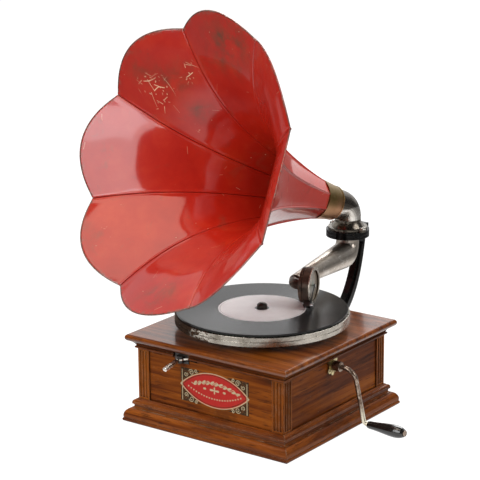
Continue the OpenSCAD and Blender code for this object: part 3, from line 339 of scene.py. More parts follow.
# The transfer on the front panel: a gummed paper print under the varnish. A red oval, pointed
# at both ends and bordered in cream and black, carries a vine, a rosette, lozenges and a row of
# beads; scrolls fill the black corners between two upright bars.
PANEL_Y, OVAL_X, OVAL_Z, OVAL_HALF_L, OVAL_HALF_H = -126.5, 8.0, 72.0, 61.0, 25.5
RED_T, BORDER_T, LINE_T, CREAM_T, ROSETTE_T, CORNER_T = 0.10, 0.16, 0.13, 0.16, 0.20, 0.05
BORDER_INNER, LINE_OUTER, LINE_INNER = (2.4, 1.15), (4.4, 2.3), (5.8, 3.1)
VINE_REACH, VINE_RISE, VINE_SAG, WAVE_L, WAVE_H = 41, 10.8, 0.0048, 15.0, 2.3
LEAF_L, LEAF_W, LEAF_OFF, LEAF_LEAN = 4.0, 1.8, 0.9, 0.5
ROSETTE_R, ROSETTE_WAVE, ROSETTE_RISE = 3.1, 2.2, 0.6
CORNER = ((60, 3.5), (60, 25), (22, 25), (31, 21.5), (46, 13))
VINE_R, VINE_LIFT, SCROLL_R, SCROLL_STEPS = 0.5, 0.1, 0.55, 22
BAR_R, BAR_X, BAR_POINTS = 0.75, 57, (22, 8, -8, -24)
SCROLLS = (((41, 20), 0.2, 1.4, 4.6), ((50.5, 15.5), 2.4, 1.3, 3.6), ((32.5, 23.5), 3.6, 1.2, 3.0))


def pointed_oval(inset_l=0.0, inset_h=0.0, steps=40):
    """Two arcs that meet in points at left and right, drawn in from the field's edge by the insets."""
    half_l, half_h = OVAL_HALF_L - inset_l, OVAL_HALF_H - inset_h
    arc_r = (half_l ** 2 + half_h ** 2) / (2 * half_h)
    sweep = math.asin(half_l / arc_r)
    turns = [sweep - 2 * sweep * i / steps for i in range(steps + 1)]
    upper = [(arc_r * math.sin(a), arc_r * math.cos(a) - arc_r + half_h) for a in turns]
    return upper + [(-x, -z) for x, z in upper[1:-1]]


def new_piece(name, mesh, finish, body):
    mesh.materials.append(finish.material)
    made = bpy.data.objects.new(name, mesh)
    bpy.context.scene.collection.objects.link(made)
    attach(made, body)
    return made


def print_shape(name, outline, ink, thick, hole=None):
    """A flat shape of ink on the front panel, from x and z in millimetres round the oval's middle."""
    work = bmesh.new()
    borders = [[(OVAL_X + x, OVAL_Z + z) for x, z in ring] for ring in (outline, hole) if ring]
    rings = [[work.verts.new((x * MM, (PANEL_Y - t) * MM, z * MM)) for x, z in ring]
             for ring in borders for t in (0.0, thick)]
    low, high = rings[0], rings[1]
    count = len(low)
    for i in range(count):
        j = (i + 1) % count
        work.faces.new((low[i], low[j], high[j], high[i]))
        if hole:
            low_in, high_in = rings[2], rings[3]
            work.faces.new((high_in[i], high_in[j], low_in[j], low_in[i]))
            work.faces.new((high[i], high[j], high_in[j], high_in[i]))
            work.faces.new((low_in[i], low_in[j], low[j], low[i]))
    if not hole:
        work.faces.new(high)
        work.faces.new(low[::-1])
    bmesh.ops.recalc_face_normals(work, faces=work.faces)
    mesh = bpy.data.meshes.new(name)
    work.to_mesh(mesh)
    work.free()
    new_piece(name, mesh, ink, "cabinet")


def printed(name, ink, worn_ink, wear):
    """Old ink, gone where the paper is rubbed through to the wood."""
    ink_finish = Finish(name, roughness=0.5, specular_ior_level=0.15)
    lost = ink_finish.step(ink_finish.cloud(480, 5.0, 0.75), wear, wear + 0.06)
    left = ink_finish.over(ink_finish.cloud(150), ink, worn_ink)
    ink_finish.colour(ink_finish.over(lost, left, (0.16, 0.055, 0.015)))
    return ink_finish


red_ink = printed("red_ink", (0.57, 0.034, 0.027), (0.44, 0.024, 0.020), 0.64)
cream_ink = printed("cream_ink", (0.68, 0.58, 0.38), (0.50, 0.40, 0.24), 0.60)
black_ink = printed("black_ink", (0.022, 0.014, 0.005), (0.04, 0.022, 0.008), 0.515)
print_shape("transfer_field", pointed_oval(), red_ink, RED_T)
print_shape("transfer_border", pointed_oval(), cream_ink, BORDER_T, pointed_oval(*BORDER_INNER))
print_shape("transfer_line", pointed_oval(*LINE_OUTER), black_ink, LINE_T, pointed_oval(*LINE_INNER))


def lobed(centre, size, lobes, depth):
    """A small flat flower or lozenge with rounded lobes."""
    steps = 6 * lobes
    radii = [size * (1 - depth + depth * abs(math.cos(lobes * math.pi * k / steps))) for k in range(steps)]
    turns = [2 * math.pi * k / steps for k in range(steps)]
    return [(centre[0] + r * math.cos(a), centre[1] + r * math.sin(a)) for r, a in zip(radii, turns)]


def row_of(name, count, pitch, lift, bend, size, lobes, depth):
    """Like ornaments in a row that bends with the oval."""
    for i in range(count):
        x = (i - (count - 1) / 2) * pitch
        outline = lobed((x, lift - bend * x * x), size, lobes, depth)
        print_shape(f"transfer_{name}_{i + 1}", outline, cream_ink, CREAM_T)


def vine_height(x):
    return VINE_RISE - VINE_SAG * x * x


def vine_leaf(x, side):
    """An oval leaf that stands off the vine at a slant, below it for side 1 and above for -1."""
    lean = LEAF_LEAN - math.atan(2 * VINE_SAG * x)
    z = vine_height(x) - side * LEAF_OFF
    return [(x + LEAF_L * math.cos(a) * math.cos(lean) - LEAF_W * math.sin(a) * math.sin(lean),
             z + LEAF_L * math.cos(a) * math.sin(lean) + LEAF_W * math.sin(a) * math.cos(lean))
            for a in np.linspace(0, 2 * math.pi, 12, endpoint=False)]


row_of("lozenge", count=4, pitch=11.5, lift=0.6, bend=0.0, size=2.5, lobes=2, depth=0.45)
row_of("bead", count=21, pitch=4.6, lift=-12.2, bend=-0.0052, size=1.25, lobes=3, depth=0.1)
rosette = []
for k in range(40):
    a, r = math.radians(9 * k), ROSETTE_R + ROSETTE_WAVE * math.cos(math.radians(36 * k))
    rosette.append((r * math.cos(a), r * math.sin(a) + ROSETTE_RISE))
print_shape("transfer_rosette", rosette, cream_ink, ROSETTE_T)
for i in range(11):
    x, side = WAVE_L * ((i - 5) / 2 + 0.25), (-1) ** (i + 1)
    print_shape(f"transfer_leaf_{i + 1}", vine_leaf(x, side), cream_ink, CREAM_T)
for side in (-1, 1):
    for rise in (-1, 1):
        outline = [(side * x, rise * z) for x, z in CORNER]
        print_shape(f"transfer_corner_{side + 2}{rise + 2}", outline, black_ink, CORNER_T)


def line_work(name, lines, line_r, finish, body):
    """Thin drawn lines or wires, as round curves through points in millimetres."""
    curve = bpy.data.curves.new(name, "CURVE")
    curve.dimensions = "3D"
    curve.bevel_depth = line_r * MM
    curve.bevel_resolution = 2
    curve.use_fill_caps = True
    for line in lines:
        spline = curve.splines.new("POLY")
        spline.points.add(len(line) - 1)
        for point, place in zip(spline.points, line):
            point.co = (*[c * MM for c in place], 1)
    curve.materials.append(finish.material)
    made = bpy.data.objects.new(name, curve)
    bpy.context.scene.collection.objects.link(made)
    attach(made, body)


def on_panel(points, lift=0.0):
    return [(OVAL_X + x, PANEL_Y - lift, OVAL_Z + z) for x, z in points]


def scroll(centre, start, turns, radius, mirror):
    """A spiral that runs in from radius, flat on the panel."""
    points = []
    for i in range(SCROLL_STEPS + 1):
        r = radius * (1 - 0.8 * i / SCROLL_STEPS)
        a = start + 2 * math.pi * turns * i / SCROLL_STEPS
        points.append((mirror[0] * (centre[0] + r * math.cos(a)), mirror[1] * (centre[1] + r * math.sin(a))))
    return on_panel(points)


scrolls = [scroll(*form, mirror) for mirror in ((1, 1), (-1, 1), (1, -1), (-1, -1)) for form in SCROLLS]
bars = [on_panel([(side * BAR_X, z) for z in BAR_POINTS]) for side in (-1, 1)]
vine = [(x, vine_height(x) + WAVE_H * math.sin(2 * math.pi * x / WAVE_L))
        for x in np.linspace(-VINE_REACH, VINE_REACH, 90)]
line_work("transfer_scrolls", scrolls, SCROLL_R, cream_ink, "cabinet")
line_work("transfer_bars", bars, BAR_R, cream_ink, "cabinet")
line_work("transfer_vine", [on_panel(vine, VINE_LIFT)], VINE_R, cream_ink, "cabinet")

# The motor inside the closed cabinet: steel plates and pillars, brass wheels pinned to their
# shafts, and a blued spring in its barrel. Only its spindle and crank shaft come out.


def metal(name, dark, light, rough, patch=60, spot=None):
    """Bare or plated metal with a patchy tarnish, and dark spots where spot gives their colour."""
    plate = Finish(name, metallic=1.0)
    tarnish = plate.cloud(patch, 5.0, 0.6, warp=0.4)
    colour = plate.colours(tarnish, (0.32, dark), (0.66, light))
    if spot:
        colour = plate.over(plate.step(plate.cloud(420, 4.0, 0.7), 0.60, 0.68, (0, 0.8)), colour, spot)
    plate.colour(colour)
    plate.rough(plate.step(plate.cloud(patch * 3), 0.3, 0.7, (rough, rough + 0.16)))
    plate.raise_by(plate.cloud(900, 2.0), 0.02, strength=0.4)
    return plate


metal("motor_steel", (0.22, 0.21, 0.20), (0.42, 0.41, 0.39), rough=0.38).dress(
    "motor_plate", "motor_lower_plate", "motor_pillars", "barrel_arbor", "governor_shaft")
metal("spindle_steel", (0.030, 0.026, 0.022), (0.10, 0.09, 0.08), rough=0.3, patch=300).dress("spindle")
metal("wheel_brass", (0.40, 0.25, 0.09), (0.68, 0.47, 0.19), rough=0.30).dress(
    "governor_wheel", "great_wheel", "winding_wheel", "winding_pinion", "governor_weights", "spring_barrel")
metal("blued_steel", (0.05, 0.06, 0.10), (0.14, 0.15, 0.20), rough=0.30).dress("mainspring")

# Crank: a steel rod bent to shape and nickelled, worn brown where the hand meets it. Its socket
# is pinned to the motor's shaft, which turns in a bush in a pale cast brass plate.
metal("pale_brass", (0.16, 0.11, 0.045), (0.62, 0.53, 0.30), rough=0.28, patch=160,
      spot=(0.05, 0.035, 0.02)).dress("crank_escutcheon", "crank_bush")
crank = Finish("crank_nickel", metallic=1.0)
worn = crank.cloud(190, 6.0, 0.7)
rod_colour = crank.colours(worn, (0.40, (0.10, 0.060, 0.040)), (0.56, (0.30, 0.23, 0.18)),
                           (0.74, (0.62, 0.56, 0.49)))
bare_end = crank.near((165, 19, 20), 26, 0.3, 120)
crank.colour(crank.over(bare_end, rod_colour, (0.74, 0.68, 0.54)))
crank.rough(crank.step(worn, 0.3, 0.7, (0.46, 0.22)))
crank.raise_by(worn, 0.15, strength=0.5)
crank.dress("crank_arm", "crank_shaft")

# Handle: turned wood, blacked and polished, and scuffed grey on its edges. It runs free on the
# pin at the rod's end.
handle = Finish("black_polish", coat_weight=0.5, coat_roughness=0.08)
handle_edge, handle_normal = handle.edges(0.8)
scuffs = handle.times(handle_edge, handle.step(handle.cloud(160, 5.0), 0.4, 0.6))
blacking = handle.colours(handle.cloud(70), (0.3, (0.006, 0.006, 0.006)), (0.7, (0.014, 0.012, 0.011)))
handle.colour(handle.over(scuffs, blacking, (0.16, 0.13, 0.11)))
handle.rough(handle.step(handle.cloud(200, 5.0), 0.35, 0.7, (0.12, 0.26)))
handle.normal(handle_normal)
handle.dress("crank_handle")

# Brake: a bracket of blacked iron on the front panel, just under the lid. The lever that turns
# on its pin is nickelled and ends in a knob with turned rings.
iron = Finish("black_iron")
iron_edge, iron_normal = iron.edges(0.7)
iron_tone = iron.colours(iron.cloud(130, 5.0), (0.35, (0.010, 0.009, 0.008)), (0.7, (0.035, 0.028, 0.024)))
iron.colour(iron.over(iron.times(iron_edge, 0.5), iron_tone, (0.10, 0.085, 0.075)))
iron.rough(iron.step(iron.cloud(260), 0.3, 0.7, (0.28, 0.5)))
iron.raise_by(iron.cloud(500, 3.0), 0.06, iron_normal)
iron.dress("brake_bracket")
metal("knob_nickel", (0.40, 0.35, 0.30), (0.80, 0.76, 0.69), rough=0.16, patch=240).dress(
    "brake_lever", "brake_knob")

# Platter: pressed steel on the spindle's taper, nickelled on its rim and rusted through in a
# patch at the front left.
platter = Finish("platter_nickel", metallic=1.0)
mottle = platter.cloud(150, 7.0, 0.75, platter.stretched((1, 1, 1.6)), 0.5)
rusted = platter.step(platter.scaled(platter.near((-66, -110, 150), 84, 0.25, 70), 0.27, mottle), 0.62, 0.66)
plating = platter.colours(platter.cloud(26, 4.0, 0.6), (0.30, (0.24, 0.21, 0.17)), (0.62, (0.56, 0.52, 0.46)))
rust = platter.colours(mottle, (0.4, (0.035, 0.02, 0.013)), (0.8, (0.17, 0.10, 0.06)))
platter.colour(platter.over(rusted, plating, rust))
polish = platter.colours(mottle, (0.3, (0.2, 0.2, 0.2)), (0.7, (0.34, 0.34, 0.34)))
platter.rough(platter.over(rusted, polish, (0.7, 0.7, 0.7)))
platter.raise_by(platter.calc("SUBTRACT", 1.0, rusted), 0.15, platter.edges(0.8)[1])
platter.dress("platter")

# Mat: a disc of green felt glued to the platter, so that the record doesn't slip or scratch.
# Its nap is thin and dusty.
felt = Finish("green_felt", roughness=0.95, sheen_weight=0.3)
felt.colour(felt.colours(felt.cloud(900, 3.0, 0.8), (0.3, (0.012, 0.020, 0.012)), (0.7, (0.035, 0.05, 0.03))))
felt.raise_by(felt.cloud(1400, 2.0), 0.15)
felt.dress("platter_mat")

# Record: pressed black shellac, cut with fine grooves that throw light out in rays from the
# middle, with a smooth band at the edge and dust in the grooves.
GROOVED_R, RIPPLE_PITCH = 120.5, 0.9
shellac = Finish("black_shellac", anisotropic=0.75, specular_ior_level=0.24)
ray_tangent = add(shellac.tree, "Tangent", direction_type="RADIAL", axis="Z").outputs[0]
feed(shellac.tree, shellac.surface["Tangent"], ray_tangent)
radius = shellac.from_spindle()
outwards = add(shellac.tree, "CombineXYZ", {0: shellac.times(radius, 330.0)}).outputs[0]
bands = shellac.cloud(1.0, 3.0, 0.7, outwards)
dust = shellac.step(shellac.cloud(700, 4.0, 0.8), 0.66, 0.72, (0, 0.5))
groove_tone = shellac.colours(bands, (0.3, (0.010, 0.010, 0.010)), (0.7, (0.024, 0.023, 0.023)))
shellac.colour(shellac.over(dust, groove_tone, (0.16, 0.15, 0.14)))
smooth_edge = shellac.step(radius, GROOVED_R * MM, (GROOVED_R + 0.5) * MM)
groove_rough = shellac.colours(bands, (0.3, (0.15, 0.15, 0.15)), (0.7, (0.24, 0.24, 0.24)))
shellac.rough(shellac.over(smooth_edge, groove_rough, (0.16, 0.16, 0.16)))
ripple = shellac.calc("SINE", shellac.times(radius, 2 * math.pi / (RIPPLE_PITCH * MM)))
shellac.raise_by(shellac.scaled(ripple, 0.12, bands), 0.08, strength=0.5)
shellac.dress("record")

# Label: a disc of grey-white paper pressed on with the shellac, plain but for one thin ring
# near its edge.
LINE_R, LINE_W, LINE_BLUR = 61.15, 1.1, 0.3
label = Finish("label_paper", roughness=0.55)
radius = label.from_spindle()
line_from, line_to = LINE_R - LINE_W / 2, LINE_R + LINE_W / 2
ring_line = label.times(label.step(radius, line_from * MM, (line_from + LINE_BLUR) * MM),
                        label.step(radius, line_to * MM, (line_to - LINE_BLUR) * MM))
paper_tone = label.colours(label.cloud(45, 5.0, 0.6), (0.3, (0.86, 0.84, 0.83)), (0.7, (0.95, 0.94, 0.93)))
stains = label.step(label.cloud(130, 5.0, 0.7), 0.60, 0.75, (0, 0.35))
paper_tone = label.over(stains, paper_tone, (0.62, 0.58, 0.57))
label.colour(label.over(label.times(ring_line, 0.7), paper_tone, (0.22, 0.21, 0.22)))
label.raise_by(label.cloud(300, 3.0), 0.05)
label.dress("record_label")

# The bracket and its ring: cast iron, stove-enamelled gloss black, with chips on the edges.
# Four steel screws hold it to the back panel, and the ring carries tone arm and horn.
enamel = Finish("black_enamel", coat_weight=0.3, coat_roughness=0.05, specular_ior_level=0.1)
enamel_edge, enamel_normal = enamel.edges(0.9)
chips = enamel.times(enamel_edge, enamel.step(enamel.cloud(180, 5.0, 0.7), 0.55, 0.62))
enamel_tone = enamel.colours(enamel.cloud(40), (0.3, (0.005, 0.005, 0.005)), (0.7, (0.011, 0.010, 0.010)))
enamel.colour(enamel.over(enamel.times(chips, 0.6), enamel_tone, (0.13, 0.11, 0.09)))
enamel.rough(enamel.step(enamel.cloud(120, 5.0), 0.35, 0.7, (0.10, 0.22)))
enamel.raise_by(enamel.cloud(140, 3.0), 0.12, enamel_normal)
enamel.dress("support_bracket", "bracket_ring")
metal("screw_steel", (0.10, 0.09, 0.08), (0.34, 0.32, 0.29), rough=0.35, patch=300).dress("bracket_screws")

# Tone arm: a nickelled brass tube that turns in the ring, bends forward and tapers, its plating
# gone grey-brown, pitted and scratched along the sides.
arm = Finish("arm_nickel", metallic=1.0)
haze = arm.cloud(34, 5.0, 0.6, warp=0.6)
arm_tone = arm.colours(haze, (0.30, (0.33, 0.275, 0.225)), (0.50, (0.48, 0.42, 0.36)),
                       (0.70, (0.60, 0.55, 0.49)))
arm_tone = arm.over(arm.step(arm.cloud(480, 5.0, 0.75), 0.60, 0.66, (0, 0.7)), arm_tone, (0.16, 0.12, 0.09))
cracks = add(arm.tree, "TexVoronoi", {"Vector": arm.stretched((1, 0.35, 1)), "Scale": 130.0},
             feature="DISTANCE_TO_EDGE").outputs["Distance"]
thin_lines = arm.times(arm.step(cracks, 0.035, 0.012), arm.step(arm.cloud(110), 0.52, 0.6, (0, 0.8)))
arm.colour(arm.over(thin_lines, arm_tone, (0.80, 0.77, 0.72)))
arm.rough(arm.step(haze, 0.3, 0.7, (0.42, 0.28)))
arm.raise_by(arm.cloud(60, 3.0), 0.10)
arm.dress("tonearm_tube")

# Sound box: two bronzed brass shells with a dark joint, turned and screwed together, on a crook
# that turns in the arm's end.
bronze = Finish("bronzed_brass", metallic=0.6)
bronze_edge, bronze_normal = bronze.edges(0.8)
bronze_tone = bronze.colours(bronze.cloud(90, 5.0, 0.6), (0.3, (0.040, 0.028, 0.022)),
                             (0.55, (0.10, 0.070, 0.052)), (0.75, (0.22, 0.16, 0.115)))
rubbed = bronze.times(bronze_edge, bronze.step(bronze.cloud(140), 0.4, 0.6, (0.2, 0.9)))
bronze_tone = bronze.over(rubbed, bronze_tone, (0.50, 0.33, 0.20))
# Darker in its recesses: partly the dark joint, partly painted shade.
bronze.colour(bronze.over(bronze.step(bronze.corners(4), 0.8, 0.3), bronze_tone, (0.02, 0.012, 0.01)))
bronze.rough(bronze.step(bronze.cloud(150), 0.3, 0.7, (0.28, 0.44)))
bronze.normal(bronze_normal)
bronze.dress("soundbox_back", "soundbox_shell", "tonearm_crook")

# Diaphragm and needle: a mica disc, with a touch of verdigris at its middle screw, behind a wide
# nickel ring. A black iron bar holds the steel needle with a thumb screw.
mica = Finish("mica", roughness=0.3, coat_weight=0.4, coat_roughness=0.1)
mica_tone = mica.colours(mica.cloud(120, 5.0, 0.65), (0.3, (0.20, 0.155, 0.115)), (0.7, (0.44, 0.37, 0.28)))
verdigris = mica.near((52.6, 50.3, 191.5), 9, 0.5, 260)
mica.colour(mica.over(mica.times(verdigris, 0.8), mica_tone, (0.08, 0.17, 0.10)))
mica.dress("diaphragm")
metal("ring_nickel", (0.40, 0.34, 0.28), (0.78, 0.73, 0.64), rough=0.20, patch=120,
      spot=(0.16, 0.11, 0.07)).dress("soundbox_ring")
iron.dress("stylus_bar")
metal("needle_steel", (0.45, 0.45, 0.45), (0.7, 0.7, 0.7), rough=0.2).dress("needle", "needle_screw")

# Elbow and its flange: nickelled castings. The flange sits on the ring with two screws. The
# elbow's nickel is painted nearly black above a bright lower bend, as a painted dark reflection.
DARK_REFLECTION_FROM = 268
elbow = Finish("elbow_nickel", metallic=1.0)
grime = elbow.cloud(48, 6.0, 0.65, warp=0.5)
elbow_tone = elbow.colours(grime, (0.34, (0.46, 0.42, 0.37)), (0.50, (0.68, 0.64, 0.59)),
                           (0.66, (0.82, 0.79, 0.74)))
ragged = elbow.scaled(elbow.cloud(90, 4.0), 4 * MM, elbow.parts()[2])
# Above this height the nickel is painted nearly black: a painted dark reflection.
painted_dark_reflection = elbow.step(ragged, DARK_REFLECTION_FROM * MM, (DARK_REFLECTION_FROM + 3) * MM, (0, 0.93))
elbow_tone = elbow.over(painted_dark_reflection, elbow_tone, (0.100, 0.083, 0.068))
freckles = elbow.step(elbow.cloud(380, 5.0, 0.8), 0.60, 0.68, (0, 0.8))
elbow.colour(elbow.over(freckles, elbow_tone, (0.10, 0.08, 0.065)))
elbow.rough(elbow.step(grime, 0.3, 0.7, (0.32, 0.20)))
elbow.raise_by(grime, 0.12, elbow.edges(0.9)[1], 0.5)
elbow.dress("horn_elbow", "flange_screws")
# The flange's nickel is painted dark brown-grey: a painted dark reflection.
metal("dark_flange", (0.075, 0.062, 0.050), (0.26, 0.23, 0.19), rough=0.14, patch=90,
      spot=(0.02, 0.015, 0.012)).dress("elbow_flange")

# Ferrule: a brass sleeve soldered round the horn's neck, a push fit on the elbow. It has gone
# olive on top and coppery below.
COPPERY_TO, OLIVE_FROM = 252, 318
ferrule = Finish("ferrule_brass", metallic=0.9)
turned_olive = ferrule.step(ferrule.parts()[2], COPPERY_TO * MM, OLIVE_FROM * MM, (-0.15, 0.62))
patina = ferrule.scaled(ferrule.cloud(70, 5.0, 0.65), 0.5, turned_olive)
brass_tone = ferrule.colours(patina, (0.10, (0.50, 0.25, 0.14)), (0.36, (0.33, 0.17, 0.08)),
                             (0.62, (0.19, 0.125, 0.035)), (0.95, (0.36, 0.25, 0.13)))
smudge = ferrule.step(ferrule.cloud(300, 5.0, 0.7), 0.58, 0.70, (0, 0.6))
ferrule.colour(ferrule.over(smudge, brass_tone, (0.09, 0.055, 0.025)))
ferrule.rough(ferrule.step(ferrule.cloud(160), 0.3, 0.7, (0.30, 0.46)))
ferrule.raise_by(ferrule.cloud(220, 4.0), 0.08)
ferrule.dress("horn_ferrule")

# The horn: eight petals of thin sheet steel, each belled lengthways and across. Neighbours are
# joined by a seam folded outwards, and all is lacquered red, with stains, flakes and scratches
# down to the cream ground.
PETALS, HALF, PETAL_TURN = 8, math.pi / 8, 1.5
PIVOT, HORN_TILT, HORN_SWIVEL = (0, 224.5, 264.2), 20.1, 13.5
ELBOW_BEND_R, ELBOW_END_L, FERRULE_L = 26, 16.3, 37
THROAT_AT = ELBOW_BEND_R * math.tan(math.radians((90 - HORN_TILT) / 2)) + ELBOW_END_L + FERRULE_L
THROAT_R, MOUTH_R, BELL_L, FLARE, PETAL_REACH = 30.8, 206.7, 260.7, 0.225, 25.0
FLARE_A = math.log(MOUTH_R / THROAT_R) - FLARE
NECK_BULGE, MOUTH_BULGE, BULGE_GROWTH = 0.02, 0.115, 1.7
SHEET, SEAM_H, FOLD_W, NEAR_SEAM = 0.9, 2.2, 1.9, 4
GROOVE_D, GROOVE_W, LAP_H, LAP_AT, LAP_W = 0.5, 0.5, 0.7, 1.7, 1.4
DENT_H, DENT_SPREAD, DENT_FADE = 0.55, 0.022, 12
ROW_COUNT, MOUTH_ROW, MIDDLE_COLUMNS = 84, 0.9955, 26
ROWS = sorted([i / ROW_COUNT for i in range(ROW_COUNT + 1)] + [MOUTH_ROW])
SEAM_COLUMNS = (0.04, 0.25, 0.5, 0.85, 1.2, 1.6, 2.0, 2.8, 4.0)
RULED_L, RULED_PITCH, BACK = 330, 500, 1000
LACQUER_STAINS = (((-51, -9, 543), 60, 0.95), ((-25, -16, 556), 34, 0.9), ((-217, -1, 517), 17, 0.9),
                  ((-65, -141, 200), 38, 0.95), ((-243, -94, 252), 22, 0.8), ((-160, 8, 478), 40, 0.7),
                  ((-125, 22, 430), 26, 0.7), ((-213, 0, 490), 38, 0.6), ((-105, -135, 180), 30, 0.8))
SCRATCHED = (((-185, 6, 462), 30), ((-135, 11, 493), 20), ((-182, 8, 437), 14), ((-250, -88, 258), 11),
             ((-151, 20, 476), 15), ((-200, 2, 470), 22), ((-222, -84, 265), 7), ((-60, -10, 495), 10),
             ((-130, 25, 400), 10), ((-92, 40, 400), 12))

lacquer = Finish("red_lacquer", coat_weight=1.0, coat_roughness=0.085, specular_ior_level=0.1)
from_seam, along, _ = lacquer.parts(add(lacquer.tree, "UVMap", uv_map="petal").outputs[0])
ruled = add(lacquer.tree, "UVMap", uv_map="millimetres").outputs[0]
inside = lacquer.step(lacquer.parts(ruled)[1], BACK - 300, BACK - 400)
shade = lacquer.cloud(9, 3.0, 0.5)
mottled = lacquer.scaled(lacquer.cloud(38, 6.0, 0.62, warp=0.3), 0.45, lacquer.times(shade, 0.55))
red = lacquer.colours(mottled, (0.32, (0.40, 0.009, 0.003)), (0.52, (0.50, 0.018, 0.006)),
                      (0.70, (0.57, 0.042, 0.012)))
# Darker red towards the mouth: painted shade against the stronger lamp light there.
mouth_painted_shade = lacquer.times(lacquer.step(along, 0.55, 0.9), lacquer.step(shade, 0.2, 0.7, (0.7, 0.25)))
red = lacquer.over(mouth_painted_shade, red, (0.32, 0.011, 0.008))
# Inside the throat the red is painted darker: painted shade.
throat_painted_shade = lacquer.times(inside, lacquer.step(along, 0.62, 0.30, (0.0, 0.55)))
red = lacquer.over(throat_painted_shade, red, (0.16, 0.003, 0.001))
# The outer face is painted a lighter pink: a painted sheen.
red = lacquer.over(lacquer.scaled(inside, -0.34, 0.34), red, (0.85, 0.10, 0.07))
blotches = lacquer.cloud(42, 6.0, 0.62, warp=0.5)
for centre, size, depth in LACQUER_STAINS:
    stain = lacquer.times(lacquer.near(centre, size, 0.5, 45), lacquer.step(blotches, 0.40, 0.72, (0, depth)))
    red = lacquer.over(stain, red, (0.095, 0.045, 0.022))
old_paint = lacquer.step(lacquer.cloud(34, 6.0, 0.66, warp=0.6), 0.58, 0.76, (0, 0.5))
red = lacquer.over(old_paint, red, (0.20, 0.045, 0.025))


def strokes(cell_mm, length, width, share, bend=0.006):
    """Short straight scratches, at most one in each cell of the sheet, each at its own angle."""
    tree = lacquer.tree
    cell = add(tree, "TexVoronoi", {"Vector": ruled, "Scale": 1 / cell_mm}, voronoi_dimensions="2D").outputs
    offset = add(tree, "VectorMath", {0: ruled, 1: cell["Position"]}, operation="SUBTRACT").outputs[0]
    angle, chance, shorter = add(tree, "SeparateColor", {0: cell["Color"]}).outputs
    turned = add(tree, "VectorRotate", {"Vector": offset, "Angle": lacquer.times(angle, 6.28)},
                 rotation_type="Z_AXIS").outputs[0]
    x, y, _ = lacquer.parts(turned)
    bow = lacquer.scaled(lacquer.times(x, x), bend, y)
    along_it = lacquer.scaled(shorter, length * 0.3, lacquer.calc("ABSOLUTE", x))
    along_it = lacquer.step(along_it, length / 2, length / 2 - 0.6)
    across_it = lacquer.step(lacquer.calc("ABSOLUTE", bow), width / 2 + 0.12, width / 2 - 0.12)
    there = lacquer.step(chance, 1 - share, 1 - share + 0.01)
    return lacquer.times(lacquer.times(along_it, across_it), there)


long_strokes = lacquer.calc("MAXIMUM", strokes(13, 17, 0.75, 0.9), strokes(23, 28, 0.85, 0.95, 0.012))
scratches = lacquer.calc("MAXIMUM", lacquer.times(strokes(5.5, 4, 1.1, 0.35), 0.9), long_strokes)
scratched = lacquer.near(*SCRATCHED[0], 0.3, 90)
for centre, size in SCRATCHED[1:]:
    scratched = lacquer.calc("MAXIMUM", scratched, lacquer.near(centre, size, 0.3, 90))
red = lacquer.over(lacquer.times(scratches, lacquer.times(scratched, inside)), red, (0.86, 0.66, 0.42))

cells = add(lacquer.tree, "TexVoronoi", {"Vector": lacquer.at, "Scale": 210.0}).outputs
chance, kind, _ = add(lacquer.tree, "SeparateColor", {0: cells["Color"]}).outputs
flake = lacquer.times(lacquer.step(cells["Distance"], 0.20, 0.10), lacquer.step(chance, 0.935, 0.945))
flake = lacquer.times(flake, lacquer.step(lacquer.cloud(14, 3.0), 0.44, 0.58))
cream_or_dark = lacquer.colours(kind, (0.45, (0.66, 0.50, 0.34)), (0.55, (0.07, 0.03, 0.02)))
red = lacquer.over(lacquer.times(flake, 0.8), red, cream_or_dark)
red = lacquer.over(lacquer.times(strokes(33, 13, 0.5, 0.22), 0.45), red, (0.70, 0.42, 0.28))
at_mouth = lacquer.step(along, 0.988, 0.999)
mouth_wear = lacquer.times(at_mouth, lacquer.step(lacquer.cloud(120, 6.0, 0.75), 0.48, 0.58, (0, 0.8)))
red = lacquer.over(mouth_wear, red, (0.20, 0.10, 0.075))
red = lacquer.over(lacquer.times(lacquer.step(from_seam, 0.13, 0.05), 0.7), red, (0.10, 0.012, 0.008))
lacquer.colour(red)
dull = lacquer.step(lacquer.cloud(30, 6.0, 0.7), 0.3, 0.7, (0.34, 0.5))
lacquer.rough(lacquer.scaled(old_paint, 0.3, dull))
brush_marks = lacquer.scaled(lacquer.cloud(380, 5.0, 0.8), 0.5, lacquer.cloud(24, 4.0, 0.55))
lacquer.raise_by(brush_marks, 0.3, strength=0.45)

to_horn = (Matrix.Translation(Vector(PIVOT)) @ Matrix.Rotation(math.radians(-HORN_SWIVEL), 4, "Z")
           @ Matrix.Rotation(math.radians(90 - HORN_TILT), 4, "X"))


def seam_radius(t):
    return THROAT_R * math.exp(t * (FLARE_A + FLARE * t ** 3))


def petal_place(t, x, out):
    """A point of a petal: t from ferrule to mouth, x from seam to seam, out from its outer face."""
    r = seam_radius(t)
    lean = math.atan(r * (FLARE_A + 4 * FLARE * t ** 3) / BELL_L)
    outward = r * math.cos(HALF) + r * (NECK_BULGE + MOUTH_BULGE * t ** BULGE_GROWTH) * (1 - x * x)
    sideways = r * math.sin(HALF) * x
    spread_r = math.hypot(outward, sideways) + out * math.cos(lean)
    turn = math.atan2(sideways, outward)
    z = THROAT_AT + BELL_L * t + PETAL_REACH * (1 - x * x) * t ** 4 - out * math.sin(lean)
    return Vector((spread_r * math.cos(turn), spread_r * math.sin(turn), z))


def petal_columns(t):
    """Places across a petal, close together at the folded seams."""
    half_mm = seam_radius(t) * math.sin(HALF)
    side = [-(half_mm - d) / half_mm for d in SEAM_COLUMNS]
    middle = [side[-1] * (1 - 2 * i / MIDDLE_COLUMNS) for i in range(1, MIDDLE_COLUMNS)]
    return side + middle + [-x for x in side[::-1]]


